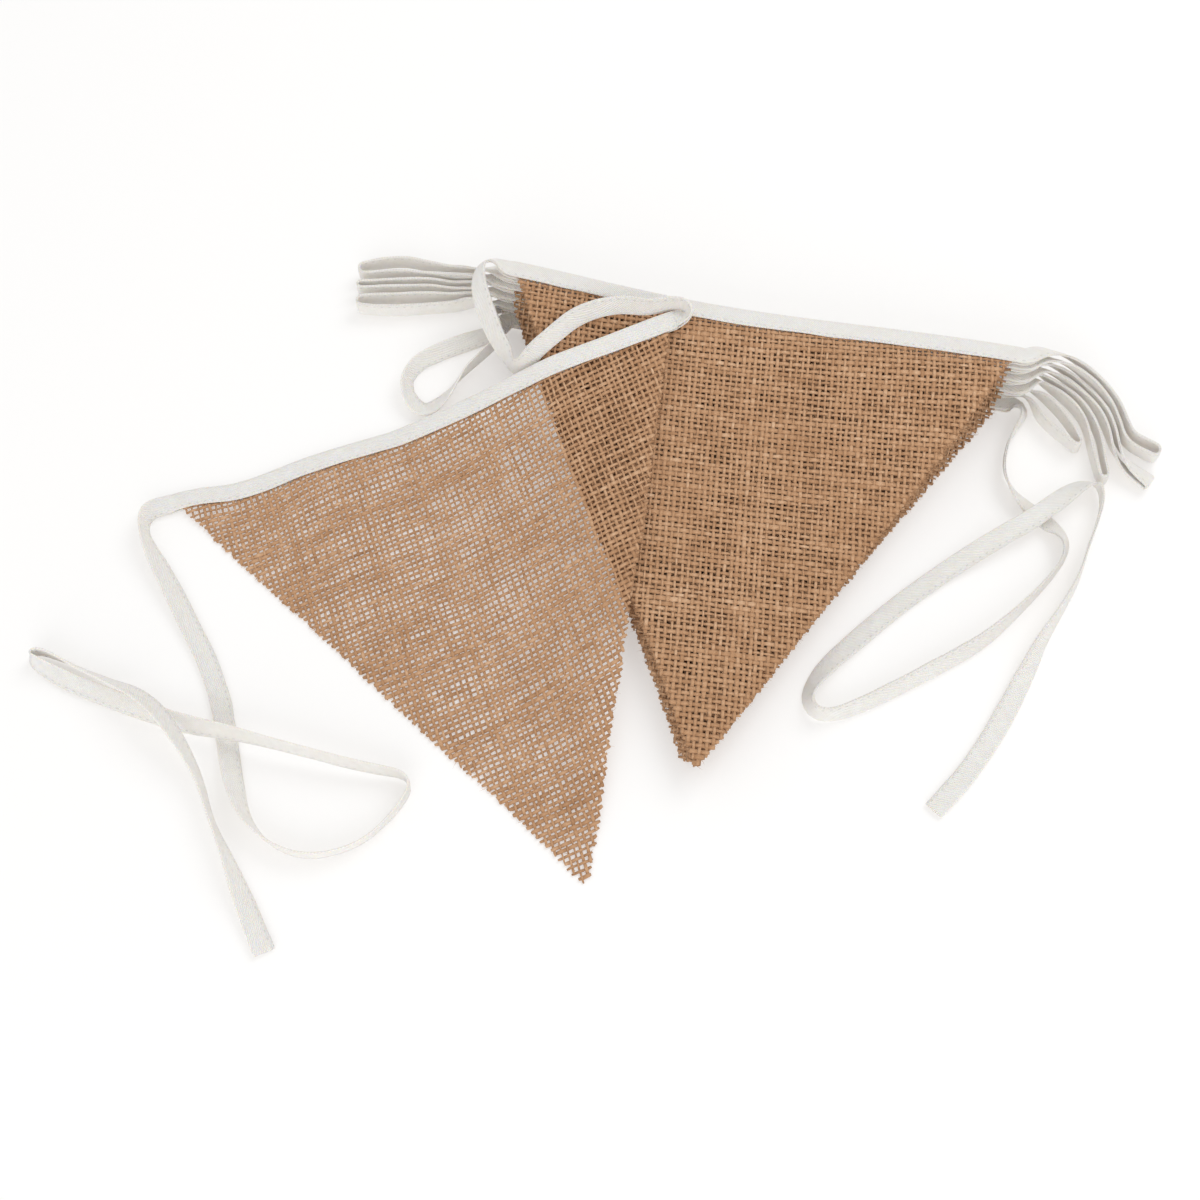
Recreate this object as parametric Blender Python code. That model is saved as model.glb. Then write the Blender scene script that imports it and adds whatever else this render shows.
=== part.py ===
"""A jute bunting: ten pennants sewn into one folded cotton tape.

It is put away as it lies on a table: nine pennants folded back and forth into a pile, the tape between them
looping out at both sides, and the first pennant laid out over the pile's left edge. Units are metres, +Z is up,
the table top is z = 0. Tables of places are in millimetres.
"""

import math

import bmesh
import bpy
from mathutils import Vector

MM = 0.001

# The cut pieces.
CLOTH = 1.0  # thickness of the jute, mm
PENNANTS = 10
PILE_WIDTH = 198.0  # top edge of a pennant in the pile
PILE_DROP = 189.0  # from its top edge to its tip
FRONT_WIDTH = 201.0
FRONT_DROP = 195.5

# The tape, folded in half along its length: a pennant's top edge lies in the fold.
TAPE_WIDTH = 7.5
TAPE_WALL = 0.4
GAP = 0.3  # between pieces that touch
TAPE_WAVE = 0.08  # how uneven the tape is
SLOT = 0.45  # room for the cloth in the fold, on either side of it
TAPE_GAP = 0.6  # where one stretch of tape ends and the next begins
LINK_THICKNESS = 1.2  # folded tape with nothing in it
FOLD_ABOVE_EDGE = TAPE_WALL + GAP
TAPE_BELOW_CLOTH = TAPE_WALL + SLOT
TAPE_MIDDLE = TAPE_WIDTH / 2 - FOLD_ABOVE_EDGE

# The pile. Layer 0 lies on the table, layer 8 is the top one.
LAYERS = PENNANTS - 1
EDGE_PITCH = 3.0  # height from layer to layer under the tape
TIP_PITCH = 1.45  # and away from it
FLAT_TO = 15.0  # how far down the pile the full pitch reaches
LIFT_TO = 17.0  # how far down the bottom tape holds its cloth off the table
TAPE_LIFT = 0.1  # room under that tape
FALL_LENGTH = 98.0  # and how far on it has fallen to the tip's
RIDGE = 0.5  # height of the soft waves on the top layer
PILE_AT = Vector((63.2, 115.1))  # middle of the top pennant's top edge
PILE_TURN = math.radians(-11.9)
TIP_LEAN = 9.0  # the cloth is cut a little askew
PILE_BOW = 5.2  # the tape of each pennant bows towards the tip

# The first pennant: it comes off the pile and down to the table.
FRONT_AT = Vector((-67.7, 76.2))
FRONT_TURN = math.radians(18.9)
FRONT_CLEARANCE = 2.8
SOFT_BEND = 8.0  # how softly the cloth bends over the pile's edge
RUN_AT_TAPE = 105.0  # how far from the pile the cloth lands, by its tape
RUN_AT_TIP = 55.0
LANDING = 1.35  # above 1 the cloth lands softly
FRONT_BOW = 3.0  # its tape bows towards the tip, near the left corner
BOW_AT = 27.0
BOW_REACH = 40.0
BOW_FADE = 80.0  # how far down a pennant the bow of its top edge is felt

# The box of the whole piece is centred on the origin.
MIDDLE = Vector((4.01, 9.122, 0.0))

# How each pennant of the pile lies against the top one, and how long it was cut.
PILE = [  # layer, turn in degrees, along, away, lean of the tip, drop
    (0, 0.1, 1.0, -6.0, 3.0, 177.0),
    (1, 0.4, -0.6, -1.8, 8.0, 180.0),
    (2, 0.6, -1.4, -2.0, 4.5, 181.0),
    (3, -0.8, 1.2, -2.4, 9.0, 182.0),
    (4, 0.4, -1.6, -2.0, 5.0, 183.0),
    (5, -0.5, 0.8, -1.6, 9.5, 185.0),
    (6, 0.6, -1.0, -1.2, 6.0, 186.0),
    (7, -0.3, 0.9, -0.6, 8.0, 187.0),
    (8, 0.0, 0.0, 0.0, TIP_LEAN, PILE_DROP),
]

# Loose tape. Roll is how far the face of the tape has turned from lying flat, in degrees, towards its left.
LINK_1_2 = [  # x, y, z, roll
    (32.4, 106.2, 29.4, 50.0),
    (34.2, 108.6, 31.2, 84.0),
    (31.0, 111.4, 31.8, 88.0),
    (25.0, 110.8, 31.6, 80.0),
    (17.4, 109.8, 31.4, 70.0),
    (8.2, 111.4, 30.6, 60.0),
    (-1.0, 110.6, 29.4, 55.0),
    (-9.8, 107.2, 27.6, 52.0),
    (-17.2, 101.4, 26.2, 45.0),
    (-23.8, 96.4, 23.6, 42.0),
    (-29.8, 93.0, 17.0, 52.0),
    (-33.6, 94.4, 14.0, 84.0),
    (-36.0, 99.8, 13.8, 60.0),
    (-39.4, 105.2, 16.0, 36.0),
    (-43.0, 111.6, 20.0, 24.0),
    (-45.8, 118.8, 24.2, 24.0),
    (-47.4, 125.8, 27.8, 40.0),
    (-46.4, 131.8, 29.4, 62.0),
    (-42.2, 134.8, 28.4, 46.0),
]
LINK_9_10 = [  # x, y, z, roll
    (-39.1, 129.7, 3.8, -22.9),
    (-42.4, 127.5, 3.4, -50.2),
    (-42.1, 124.5, 6.5, -88.5),
    (-40.3, 120.3, 6.3, -79.8),
    (-39.4, 116.6, 6.0, -90.0),
    (-43.2, 110.4, 5.2, -90.0),
    (-48.4, 104.8, 4.6, -86.0),
    (-53.4, 98.8, 4.4, -80.0),
    (-57.2, 92.6, 4.4, -64.0),
    (-62.6, 85.2, 3.4, -36.0),
    (-68.4, 82.0, 2.2, -16.0),
    (-74.0, 86.4, 2.8, -34.0),
    (-76.0, 94.6, 4.2, -62.0),
    (-72.0, 102.8, 4.2, -62.0),
    (-63.2, 109.0, 3.6, -48.0),
    (-54.0, 113.6, 3.0, -38.0),
    (-47.4, 117.2, 1.6, -11.3),
    (-42.7, 120.3, 0.8, -0.9),
    (-39.1, 123.5, 1.4, 2.3),
]
TIE_LEFT = [  # x, y, z, roll
    (-166.6, 38.6, 2.0, 12.0),
    (-169.8, 36.6, 3.4, 46.0),
    (-171.8, 32.4, 4.6, 78.0),
    (-170.8, 26.0, 4.4, 72.0),
    (-167.2, 18.6, 3.6, 46.0),
    (-159.7, 5.7, 2.8, 24.0),
    (-150.9, -10.1, 1.6, 10.0),
    (-142.4, -25.6, 1.2, 5.0),
    (-136.1, -41.0, 1.2, 4.0),
    (-132.0, -57.4, 1.4, 8.0),
    (-128.0, -73.0, 2.8, 34.0),
    (-122.6, -86.0, 4.2, 66.0),
    (-113.7, -95.2, 4.4, 84.0),
    (-102.4, -99.8, 4.4, 86.0),
    (-90.5, -98.8, 4.4, 82.0),
    (-79.6, -93.4, 4.4, 80.0),
    (-70.6, -83.6, 4.4, 84.0),
    (-66.2, -75.4, 4.6, 90.0),
    (-68.6, -71.0, 5.0, 90.0),
    (-78.6, -69.0, 6.0, 84.0),
    (-91.9, -66.2, 7.2, 84.0),
    (-104.7, -62.9, 8.2, 84.0),
    (-116.5, -59.8, 8.4, 80.0),
    (-128.0, -56.6, 7.8, 72.0),
    (-139.3, -53.6, 6.4, 60.0),
    (-153.1, -49.4, 4.0, 44.0),
    (-172.1, -42.2, 3.6, 42.0),
    (-190.2, -34.7, 3.6, 44.0),
    (-202.6, -28.0, 4.0, 66.0),
    (-206.6, -24.6, 4.6, 88.0),
    (-204.6, -22.6, 4.8, 90.0),
    (-198.6, -24.4, 4.8, 86.0),
    (-188.6, -29.2, 4.6, 72.0),
    (-176.6, -35.0, 6.0, 62.0),
    (-166.2, -40.6, 9.2, 46.0),
    (-156.6, -48.2, 10.6, 42.0),
    (-148.6, -58.0, 8.4, 52.0),
    (-140.6, -71.0, 4.8, 74.0),
    (-134.4, -86.0, 4.4, 84.0),
    (-127.4, -100.0, 4.2, 66.0),
    (-120.6, -114.6, 2.4, 28.0),
    (-114.6, -127.6, 1.4, 8.0),
    (-111.8, -133.4, 1.2, 4.0),
]
TIE_RIGHT = [  # x, y, z, roll
    (163.8, 84.4, 2.6, 26.0),
    (165.2, 80.6, 4.2, 68.0),
    (162.6, 74.8, 4.4, 86.0),
    (157.4, 66.6, 4.4, 88.0),
    (154.6, 55.6, 4.4, 84.0),
    (155.8, 46.8, 4.0, 64.0),
    (161.4, 39.2, 2.6, 30.0),
    (169.0, 31.6, 1.4, 10.0),
    (174.0, 23.6, 3.0, 52.0),
    (172.0, 14.6, 4.4, 82.0),
    (164.0, 4.4, 4.4, 84.0),
    (151.8, -8.0, 4.4, 78.0),
    (137.6, -19.6, 4.0, 62.0),
    (124.4, -27.6, 4.0, 60.0),
    (109.3, -35.8, 4.0, 60.0),
    (96.2, -42.6, 4.0, 62.0),
    (84.6, -47.4, 4.2, 70.0),
    (76.6, -47.4, 4.4, 84.0),
    (74.0, -41.0, 4.0, 62.0),
    (80.3, -30.0, 2.4, 28.0),
    (93.4, -17.1, 1.4, 6.0),
    (111.4, -1.6, 1.2, 0.0),
    (130.4, 12.2, 2.2, -6.0),
    (147.0, 22.4, 4.8, -10.0),
    (163.0, 31.6, 6.6, -12.0),
    (176.4, 41.6, 6.4, 10.0),
    (184.6, 47.0, 5.6, 50.0),
    (189.6, 46.6, 4.8, 84.0),
    (190.0, 39.6, 4.4, 88.0),
    (186.4, 29.2, 4.4, 86.0),
    (181.6, 18.3, 4.4, 84.0),
    (176.2, 6.0, 4.4, 80.0),
    (168.6, -6.4, 4.2, 74.0),
    (160.6, -18.6, 3.8, 58.0),
    (153.9, -30.4, 2.8, 34.0),
    (146.5, -43.1, 1.6, 12.0),
    (137.9, -56.6, 1.2, 4.0),
    (126.6, -71.4, 1.2, 2.0),
    (115.2, -83.3, 1.2, 0.0),
]

# Loops of the pile: the tape runs out along a middle line and back beside itself.
# x, y, z of the middle line, lean of the pair from flat to standing on edge, half the space between the runs.
LOOPS = {
    (2, 3): [
        (169.2, 93.6, 23.4, 24.0, 1.4),
        (181.2, 95.4, 16.8, 50.0, 1.4),
        (192.8, 91.2, 9.0, 74.0, 1.4),
        (200.0, 83.0, 4.8, 86.0, 1.5),
        (202.4, 73.8, 4.4, 88.0, 1.5),
        (204.4, 66.8, 4.4, 84.0, 2.0),
        (212.2, 61.4, 4.4, 82.0, 2.5),
    ],
    (4, 5): [
        (169.0, 93.2, 17.2, 28.0, 1.3),
        (179.6, 93.6, 10.6, 58.0, 1.3),
        (188.6, 88.6, 5.4, 82.0, 1.3),
        (194.8, 80.2, 4.4, 88.0, 1.3),
        (197.2, 71.4, 4.4, 88.0, 1.3),
        (198.6, 63.0, 4.2, 74.0, 1.3),
        (201.9, 55.4, 3.4, 40.0, 1.2),
        (208.9, 49.4, 2.6, 16.0, 1.0),
    ],
    (6, 7): [
        (168.4, 92.6, 11.0, 34.0, 1.3),
        (177.0, 90.6, 6.0, 74.0, 1.3),
        (183.6, 85.2, 4.4, 88.0, 1.4),
        (188.0, 78.0, 4.4, 88.0, 1.7),
        (190.2, 69.4, 4.4, 88.0, 2.0),
        (190.8, 60.2, 4.4, 88.0, 1.9),
        (191.6, 50.4, 4.4, 86.0, 1.6),
    ],
    (8, 9): [
        (166.9, 88.3, 4.7, 56.0, 1.6),
        (170.8, 85.0, 4.4, 84.0, 2.8),
        (174.6, 78.6, 4.4, 88.0, 3.8),
        (178.8, 72.0, 4.4, 88.0, 3.2),
        (183.2, 65.0, 4.4, 86.0, 1.6),
    ],
    (3, 4): [
        (-42.4, 136.0, 19.2, 24.0, 1.4),
        (-50.6, 140.8, 12.4, 56.0, 1.5),
        (-59.0, 144.6, 6.8, 80.0, 1.8),
        (-68.3, 147.2, 4.6, 88.0, 2.6),
        (-78.7, 149.3, 4.4, 88.0, 3.2),
        (-88.8, 148.8, 4.4, 88.0, 3.0),
        (-95.3, 147.6, 4.4, 88.0, 2.6),
    ],
    (5, 6): [
        (-42.4, 134.4, 13.2, 28.0, 1.3),
        (-50.4, 137.4, 7.8, 66.0, 1.3),
        (-58.8, 138.8, 4.6, 86.0, 1.4),
        (-68.1, 140.2, 4.4, 88.0, 1.6),
        (-79.0, 140.1, 4.4, 88.0, 1.6),
        (-89.1, 139.5, 4.4, 88.0, 1.5),
        (-96.6, 139.4, 4.4, 88.0, 1.5),
    ],
    (7, 8): [
        (-42.0, 132.3, 7.0, 45.3, 1.3),
        (-50.8, 132.8, 5.8, 88.3, 1.4),
        (-58.6, 132.3, 4.4, 88.0, 2.0),
        (-67.7, 132.0, 4.4, 88.0, 2.6),
        (-78.6, 131.5, 4.4, 88.0, 3.0),
        (-88.6, 131.2, 4.4, 88.0, 2.8),
        (-95.6, 131.2, 4.4, 88.0, 2.2),
    ],
}

PILE_ROWS = 9
FRONT_ROWS = 20
FIRST_ROW = 9.0  # distance of the second row of points, just below the tape
STEP = 4.0  # along a loop or link
TIE_STEP = 7.5
HAIRPIN_STEPS = 5

JUTE = ("jute", (0.42, 0.25, 0.13, 1.0), 0.92)
COTTON = ("cotton tape", (0.84, 0.82, 0.78, 1.0), 0.85)


def ease(t):
    """0 to 1 with soft ends."""
    t = min(max(t, 0.0), 1.0)
    return t * t * (3.0 - 2.0 * t)


def ragged(i, seed):
    """An uneven number between -1 and 1, the same each time."""
    return math.sin(12.9898 * i + 4.137 * seed) * math.cos(7.233 * i - 1.7 * seed)


def axes(turn):
    """The direction along a pennant's top edge, and the one down to its tip."""
    return Vector((math.cos(turn), math.sin(turn))), Vector((math.sin(turn), -math.cos(turn)))


PILE_ALONG, PILE_DOWN = axes(PILE_TURN)


def pitch(down):
    """Height from layer to layer at a distance down from the pile's top edge."""
    t = min(max((down - FLAT_TO) / FALL_LENGTH, 0.0), 1.0)
    return TIP_PITCH + (EDGE_PITCH - TIP_PITCH) * (1.0 - t) ** 2


def pile_height(point, layer):
    """Height of the underside of a layer of the pile."""
    p = point - PILE_AT
    along, down = p.dot(PILE_ALONG), p.dot(PILE_DOWN)
    tape = (TAPE_BELOW_CLOTH + TAPE_LIFT) * (1.0 - ease((down - LIFT_TO) / 14.0))
    wave = math.sin(along / 27.0 + 0.6) * math.cos(down / 34.0) * RIDGE * ease((down - FLAT_TO) / 40.0)
    return layer * pitch(down) + tape + wave * layer / (LAYERS - 1)


def front_height(point):
    """Height of the underside of the first pennant: over the pile, then down to the table."""
    p = point - PILE_AT
    along, down = p.dot(PILE_ALONG), max(p.dot(PILE_DOWN), 0.0)
    half = PILE_WIDTH / 2 * (1.0 - down / PILE_DROP)
    edge = -half + TIP_LEAN * down / PILE_DROP
    outside = edge - along
    softened = (outside + math.hypot(outside, SOFT_BEND)) / 2
    top = pile_height(PILE_AT + PILE_ALONG * max(along, edge) + PILE_DOWN * down, LAYERS - 1)
    top += CLOTH + FRONT_CLEARANCE
    run = RUN_AT_TAPE + (RUN_AT_TIP - RUN_AT_TAPE) * min(down / PILE_DROP, 1.2)
    t = min(max(1.0 - softened / run, 0.0), 1.0)
    q = point - FRONT_AT
    tape = (TAPE_BELOW_CLOTH + TAPE_LIFT) * (1.0 - ease((q.dot(axes(FRONT_TURN)[1]) - FIRST_ROW) / 14.0))
    return max(top * t**LANDING, tape)


def bow(number, along, width):
    """How far a pennant's top edge bows towards its tip."""
    s = along / width + 0.5
    if number == 1:
        t = (s * width - BOW_AT) / BOW_REACH
        return FRONT_BOW * math.exp(-t * t * 4.0) * ease(s * width / 22.0)
    return PILE_BOW * math.sin(math.pi * min(max(s, 0.0), 1.0)) ** 1.5 * (1.3 - s)


class Pennant:
    """Where one pennant lies: its corner points, and the height of its underside."""

    def __init__(self, number):
        self.number = number
        self.layer = PENNANTS - number
        if number == 1:
            self.at, self.turn, self.lean = FRONT_AT, FRONT_TURN, 0.0
            self.width, self.drop, self.rows = FRONT_WIDTH, FRONT_DROP, FRONT_ROWS
        else:
            _, turn, along, away, self.lean, self.drop = PILE[self.layer]
            self.at = PILE_AT + PILE_ALONG * along - PILE_DOWN * away
            self.turn = PILE_TURN + math.radians(turn)
            self.width, self.rows = PILE_WIDTH, PILE_ROWS
        self.along, self.down = axes(self.turn)

    def flat(self, along, down):
        """A point of the cloth in plan, from its place on the flat pennant."""
        bowed = bow(self.number, along, self.width) * (1.0 - min(down / BOW_FADE, 1.0))
        return self.at + self.along * (along + self.lean * down / self.drop) + self.down * (down + bowed)

    def point(self, along, down):
        """The same point on the underside of the lying cloth."""
        p = self.flat(along, down)
        z = front_height(p) if self.number == 1 else pile_height(p, self.layer)
        return Vector((p.x, p.y, z))

    def row(self, down, columns, seed):
        """Points across the cloth, its cut sides a little uneven."""
        half = self.width / 2 * (1.0 - down / self.drop)
        points = []
        for i in range(columns + 1):
            along = -half + 2 * half * i / columns if columns else 0.0
            if columns and down > FIRST_ROW and i in (0, columns):
                along += 0.7 * ragged(down, seed + i)
            points.append(self.point(along, down))
        return points

    def tape_frame(self, along):
        """Middle of the tape on the top edge, its side from fold to stitches, and its upper face."""
        edge, below = self.point(along, 0.0), self.point(along, FIRST_ROW)
        side = (below - edge).normalized()
        ahead = (self.point(along + 1.0, 0.0) - edge).normalized()
        face = side.cross(ahead).normalized()
        return edge + side * TAPE_MIDDLE + face * (CLOTH / 2), side, face, ahead


def place(points):
    """Millimetres of the layout to metres about the origin."""
    return [(Vector(p) - MIDDLE) * MM for p in points]


def make_object(name, points, faces, finish):
    """A closed solid from points and faces, with its own material."""
    mesh = bpy.data.meshes.new(name)
    bm = bmesh.new()
    verts = [bm.verts.new(p) for p in place(points)]
    for face in faces:
        bm.faces.new([verts[i] for i in face])
    bmesh.ops.triangulate(bm, faces=bm.faces)
    bmesh.ops.recalc_face_normals(bm, faces=bm.faces)
    bm.to_mesh(mesh)
    bm.free()
    label, colour, rough = finish
    material = bpy.data.materials.new(f"{label} {name}")
    material.use_nodes = True
    shader = material.node_tree.nodes["Principled BSDF"]
    shader.inputs["Base Color"].default_value = colour
    shader.inputs["Roughness"].default_value = rough
    shader.inputs["Metallic"].default_value = 0.0
    mesh.materials.append(material)
    obj = bpy.data.objects.new(name, mesh)
    bpy.context.collection.objects.link(obj)
    return obj


def make_pennant(pennant):
    """The cloth: rows of points from the top edge to the tip, given its thickness."""
    n = pennant.rows
    rows = [pennant.row(0.0, n, pennant.number)]
    for j in range(n + 1):
        down = FIRST_ROW + (pennant.drop - FIRST_ROW) * j / n
        rows.append(pennant.row(down, n - j, pennant.number))
    starts, points = [], []
    for row in rows:
        starts.append(len(points))
        points += row
    count = len(points)
    points += [p + Vector((0.0, 0.0, CLOTH)) for p in points]
    under = []
    for j in range(len(rows) - 1):
        a, b = starts[j], starts[j + 1]
        for i in range(len(rows[j]) - 1):
            under.append((a + i, b + min(i, len(rows[j + 1]) - 1), a + i + 1))
            if i + 1 < len(rows[j + 1]):
                under.append((a + i + 1, b + i, b + i + 1))
    faces = under + [tuple(i + count for i in reversed(face)) for face in under]
    left = [start for start in starts]
    right = [start + len(row) - 1 for start, row in zip(starts, rows)]
    top = list(range(starts[0], starts[0] + len(rows[0])))
    for line in (left, right[:-1] + [left[-1]], top):
        for a, b in zip(line, line[1:]):
            faces.append((a, b, b + count, a + count))
    return make_object(f"pennant_{pennant.number:02d}", points, faces, JUTE)


def sweep(name, rings, finish):
    """A solid through closed rings of points, with flat ends: one quad, or three for the folded tape's ring."""
    size = len(rings[0])
    points = [p for ring in rings for p in ring]
    quads = [(0, 1, 2, 3)] if size == 4 else [(0, 1, 2, 3), (0, 3, 4, 7), (4, 5, 6, 7)]
    faces = [tuple(start + i for i in quad) for start in (0, (len(rings) - 1) * size) for quad in quads]
    for k in range(len(rings) - 1):
        for i in range(size):
            j = (i + 1) % size
            faces.append((k * size + i, k * size + j, (k + 1) * size + j, (k + 1) * size + i))
    return make_object(name, points, faces, finish)


def tape_section(i, seed):
    """Half of the folded tape over a pennant's edge, as pairs: down the cloth, away from its middle."""
    out = TAPE_WIDTH - FOLD_ABOVE_EDGE + TAPE_WAVE * ragged(i, seed)
    wall = CLOTH / 2 + SLOT - TAPE_WAVE * abs(ragged(i, seed + 3))
    outer = wall + TAPE_WALL
    return [(-GAP, wall), (out, wall), (out, outer), (-FOLD_ABOVE_EDGE, outer)]


def make_binding(pennant):
    """The tape folded over the top edge, open towards the tip, with the cloth in its fold."""
    rings = []
    for i in range(pennant.rows + 1):
        along = -pennant.width / 2 + pennant.width * i / pennant.rows
        middle, side, face, _ = pennant.tape_frame(along)
        edge = middle - side * TAPE_MIDDLE
        above = [edge + side * s + face * f for s, f in tape_section(i, pennant.number)]
        below = [edge + side * s - face * f for s, f in tape_section(i, pennant.number + 17)]
        rings.append(above + below[::-1])
    return sweep(f"binding_{pennant.number:02d}", rings, COTTON)


def curve_through(stations, step):
    """A smooth line through rows of numbers, in even steps of its length in space."""
    rows = [Vector(s) for s in stations]
    rows = [rows[0] * 2 - rows[1]] + rows + [rows[-1] * 2 - rows[-2]]
    line = []
    for k in range(1, len(rows) - 2):
        a, b, c, d = rows[k - 1 : k + 3]
        length = (Vector(c[:3]) - Vector(b[:3])).length
        count = max(1, round(length / step))
        for i in range(count):
            t = i / count
            line.append(
                0.5 * ((2 * b) + (c - a) * t + (2 * a - 5 * b + 4 * c - d) * t * t + (3 * b - a - 3 * c + d) * t**3)
            )
    line.append(rows[-2])
    return line


def tape_rings(middles, faces):
    """Rings of a flat strip from the points of its middle line and the way its face looks."""
    rings = []
    last = len(middles) - 1
    for i, (p, face) in enumerate(zip(middles, faces)):
        ahead = (middles[min(i + 1, last)] - middles[max(i - 1, 0)]).normalized()
        side = face.cross(ahead).normalized() * (TAPE_WIDTH / 2)
        up = ahead.cross(side).normalized() * (LINK_THICKNESS / 2)
        rings.append([p - side - up, p + side - up, p + side + up, p - side + up])
    return rings


def rest_height(roll):
    """Lowest height of the tape's middle line at which it stays on the table, for its roll in degrees."""
    turn = math.radians(abs(roll))
    return TAPE_WIDTH / 2 * math.sin(turn) + LINK_THICKNESS / 2 * math.cos(turn) + 0.1


def face_from_roll(ahead, roll):
    """The way the face of the tape looks: up, rolled towards the left of its run."""
    left = Vector((-ahead.y, ahead.x, 0.0)).normalized()
    return Vector((0.0, 0.0, math.cos(roll))) + left * math.sin(roll)


def loose_tape(name, start, stations, end, step):
    """Tape from the end of one binding along its stations to the next binding, or to its free end."""
    rows = list(stations)
    if start:
        p, ahead = start
        rows = [(*(p + ahead * TAPE_GAP), 0.0), (*(p + ahead * 2.5), 3.0)] + rows
    if end:
        p, ahead = end
        rows = rows + [(*(p + ahead * 2.5), 3.0), (*(p + ahead * TAPE_GAP), 0.0)]
    line = curve_through(rows, step)
    middles = [Vector((p[0], p[1], max(p[2], rest_height(p[3])))) for p in line]
    last = len(middles) - 1
    faces = []
    for i, p in enumerate(line):
        ahead = middles[min(i + 1, last)] - middles[max(i - 1, 0)]
        faces.append(face_from_roll(ahead, math.radians(p[3])))
    return sweep(name, tape_rings(middles, faces), COTTON)


def make_loop(name, upper, lower, stations):
    """A loop of the pile: out from the upper binding's end, round a hairpin, back to the lower one's."""
    (p, ahead), (q, _) = upper, lower
    start, spread = (p + q) / 2, (p.z - q.z) / 2
    rows = [(*(start + ahead * TAPE_GAP), 0.0, spread), (*(start + ahead * 3.0), 2.0, spread)] + list(stations)
    line = curve_through(rows, STEP)
    last = len(line) - 1
    middles = [Vector((r[0], r[1], max(r[2], rest_height(r[3]) + r[4] * math.cos(math.radians(r[3]))))) for r in line]
    out, back, out_faces, back_faces = [], [], [], []
    turn = 1.0 if ahead.x < 0 else -1.0
    for i, r in enumerate(line):
        run = middles[min(i + 1, last)] - middles[max(i - 1, 0)]
        far = Vector((run.y, -run.x, 0.0)).normalized() * turn
        lean = math.radians(r[3])
        face = Vector((0.0, 0.0, math.cos(lean))) + far * math.sin(lean)
        run.normalize()
        face = (face - run * face.dot(run)).normalized()
        fade = 1.0 - ease(i * STEP / 14.0)
        out.append(middles[i] + face * r[4] + (p - start - Vector((0, 0, spread))) * fade)
        back.append(middles[i] - face * r[4] + (q - start + Vector((0, 0, spread))) * fade)
        out_faces.append(face)
        back_faces.append(-face)
    radius, tip, face = line[-1][4], middles[-1], out_faces[-1]
    pin, pin_faces = [], []
    for k in range(1, HAIRPIN_STEPS):
        angle = math.pi * k / HAIRPIN_STEPS
        pin_faces.append(face * math.cos(angle) + run * math.sin(angle))
        pin.append(tip + pin_faces[-1] * radius)
    middles = out + pin + back[::-1]
    faces = out_faces + pin_faces + back_faces[::-1]
    return sweep(name, tape_rings(middles, faces), COTTON)


def corner(pennant, side):
    """Where the tape leaves a pennant, and the way it runs: side is -1 at its left, 1 at its right."""
    middle, _, _, ahead = pennant.tape_frame(side * pennant.width / 2)
    return middle, ahead * side


def make_bunting():
    pennants = {number: Pennant(number) for number in range(1, PENNANTS + 1)}
    for pennant in pennants.values():
        make_pennant(pennant)
        make_binding(pennant)
    for number in range(2, PENNANTS):
        side = 1 if number % 2 == 0 else -1
        upper, lower = corner(pennants[number], side), corner(pennants[number + 1], side)
        name = f"link_{number:02d}_{number + 1:02d}"
        if number == PENNANTS - 1:
            loose_tape(name, upper, LINK_9_10, lower, STEP)
        else:
            make_loop(name, upper, lower, LOOPS[number, number + 1])
    loose_tape("link_01_02", corner(pennants[1], 1), LINK_1_2, corner(pennants[2], -1), STEP)
    loose_tape("tie_left", corner(pennants[1], -1), TIE_LEFT, None, TIE_STEP)
    loose_tape("tie_right", corner(pennants[PENNANTS], 1), TIE_RIGHT, None, TIE_STEP)


for thing in list(bpy.data.objects):
    bpy.data.objects.remove(thing, do_unlink=True)
make_bunting()
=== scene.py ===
# %% [markdown]
# # A jute bunting, put away
# Ten jute pennants hang from one cotton tape. Here the bunting is put away on a table: nine pennants are folded
# back and forth into a pile, the tape between them loops out at both sides, and the first pennant is laid out
# over the pile's left edge. We first load the plain solids, which give every place and size.

# %% Load the solids
import math

import bpy
import numpy as np
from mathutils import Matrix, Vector


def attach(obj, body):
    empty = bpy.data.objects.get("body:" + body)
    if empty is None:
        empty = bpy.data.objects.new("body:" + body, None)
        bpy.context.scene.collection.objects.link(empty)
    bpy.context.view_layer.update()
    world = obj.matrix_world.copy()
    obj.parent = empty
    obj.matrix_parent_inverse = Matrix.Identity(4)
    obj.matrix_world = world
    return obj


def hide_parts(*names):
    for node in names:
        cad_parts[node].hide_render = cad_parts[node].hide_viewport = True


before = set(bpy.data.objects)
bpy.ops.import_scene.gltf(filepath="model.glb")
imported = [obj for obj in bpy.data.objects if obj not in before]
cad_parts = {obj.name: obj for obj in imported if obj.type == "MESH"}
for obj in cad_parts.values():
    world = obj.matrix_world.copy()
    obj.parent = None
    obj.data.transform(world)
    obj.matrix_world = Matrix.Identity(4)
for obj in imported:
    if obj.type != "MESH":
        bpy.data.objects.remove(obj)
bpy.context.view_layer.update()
MM = 0.001
MIDDLE = np.array([4.01, 9.122, 0.0])  # the layout's point, in mm, that is the origin of the solids

# %% [markdown]
# ## The camera
# The photograph looks down on the table from the front at about 63 degrees, through a long lens, so the far side
# is only a little smaller than the near side. Everything is worked out in millimetres on the layout, as a maker
# would lay it out on paper, and goes to metres about the origin when a mesh is made.

# %% Camera
CAMERA_RISE = math.radians(63.0)
CAMERA_DISTANCE = 629.0
LENS = 51.0  # on a sensor 36 mm wide


def to_metres(points):
    """Millimetres of the layout to metres about the origin."""
    return (np.asarray(points, float) - MIDDLE) * MM


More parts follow.
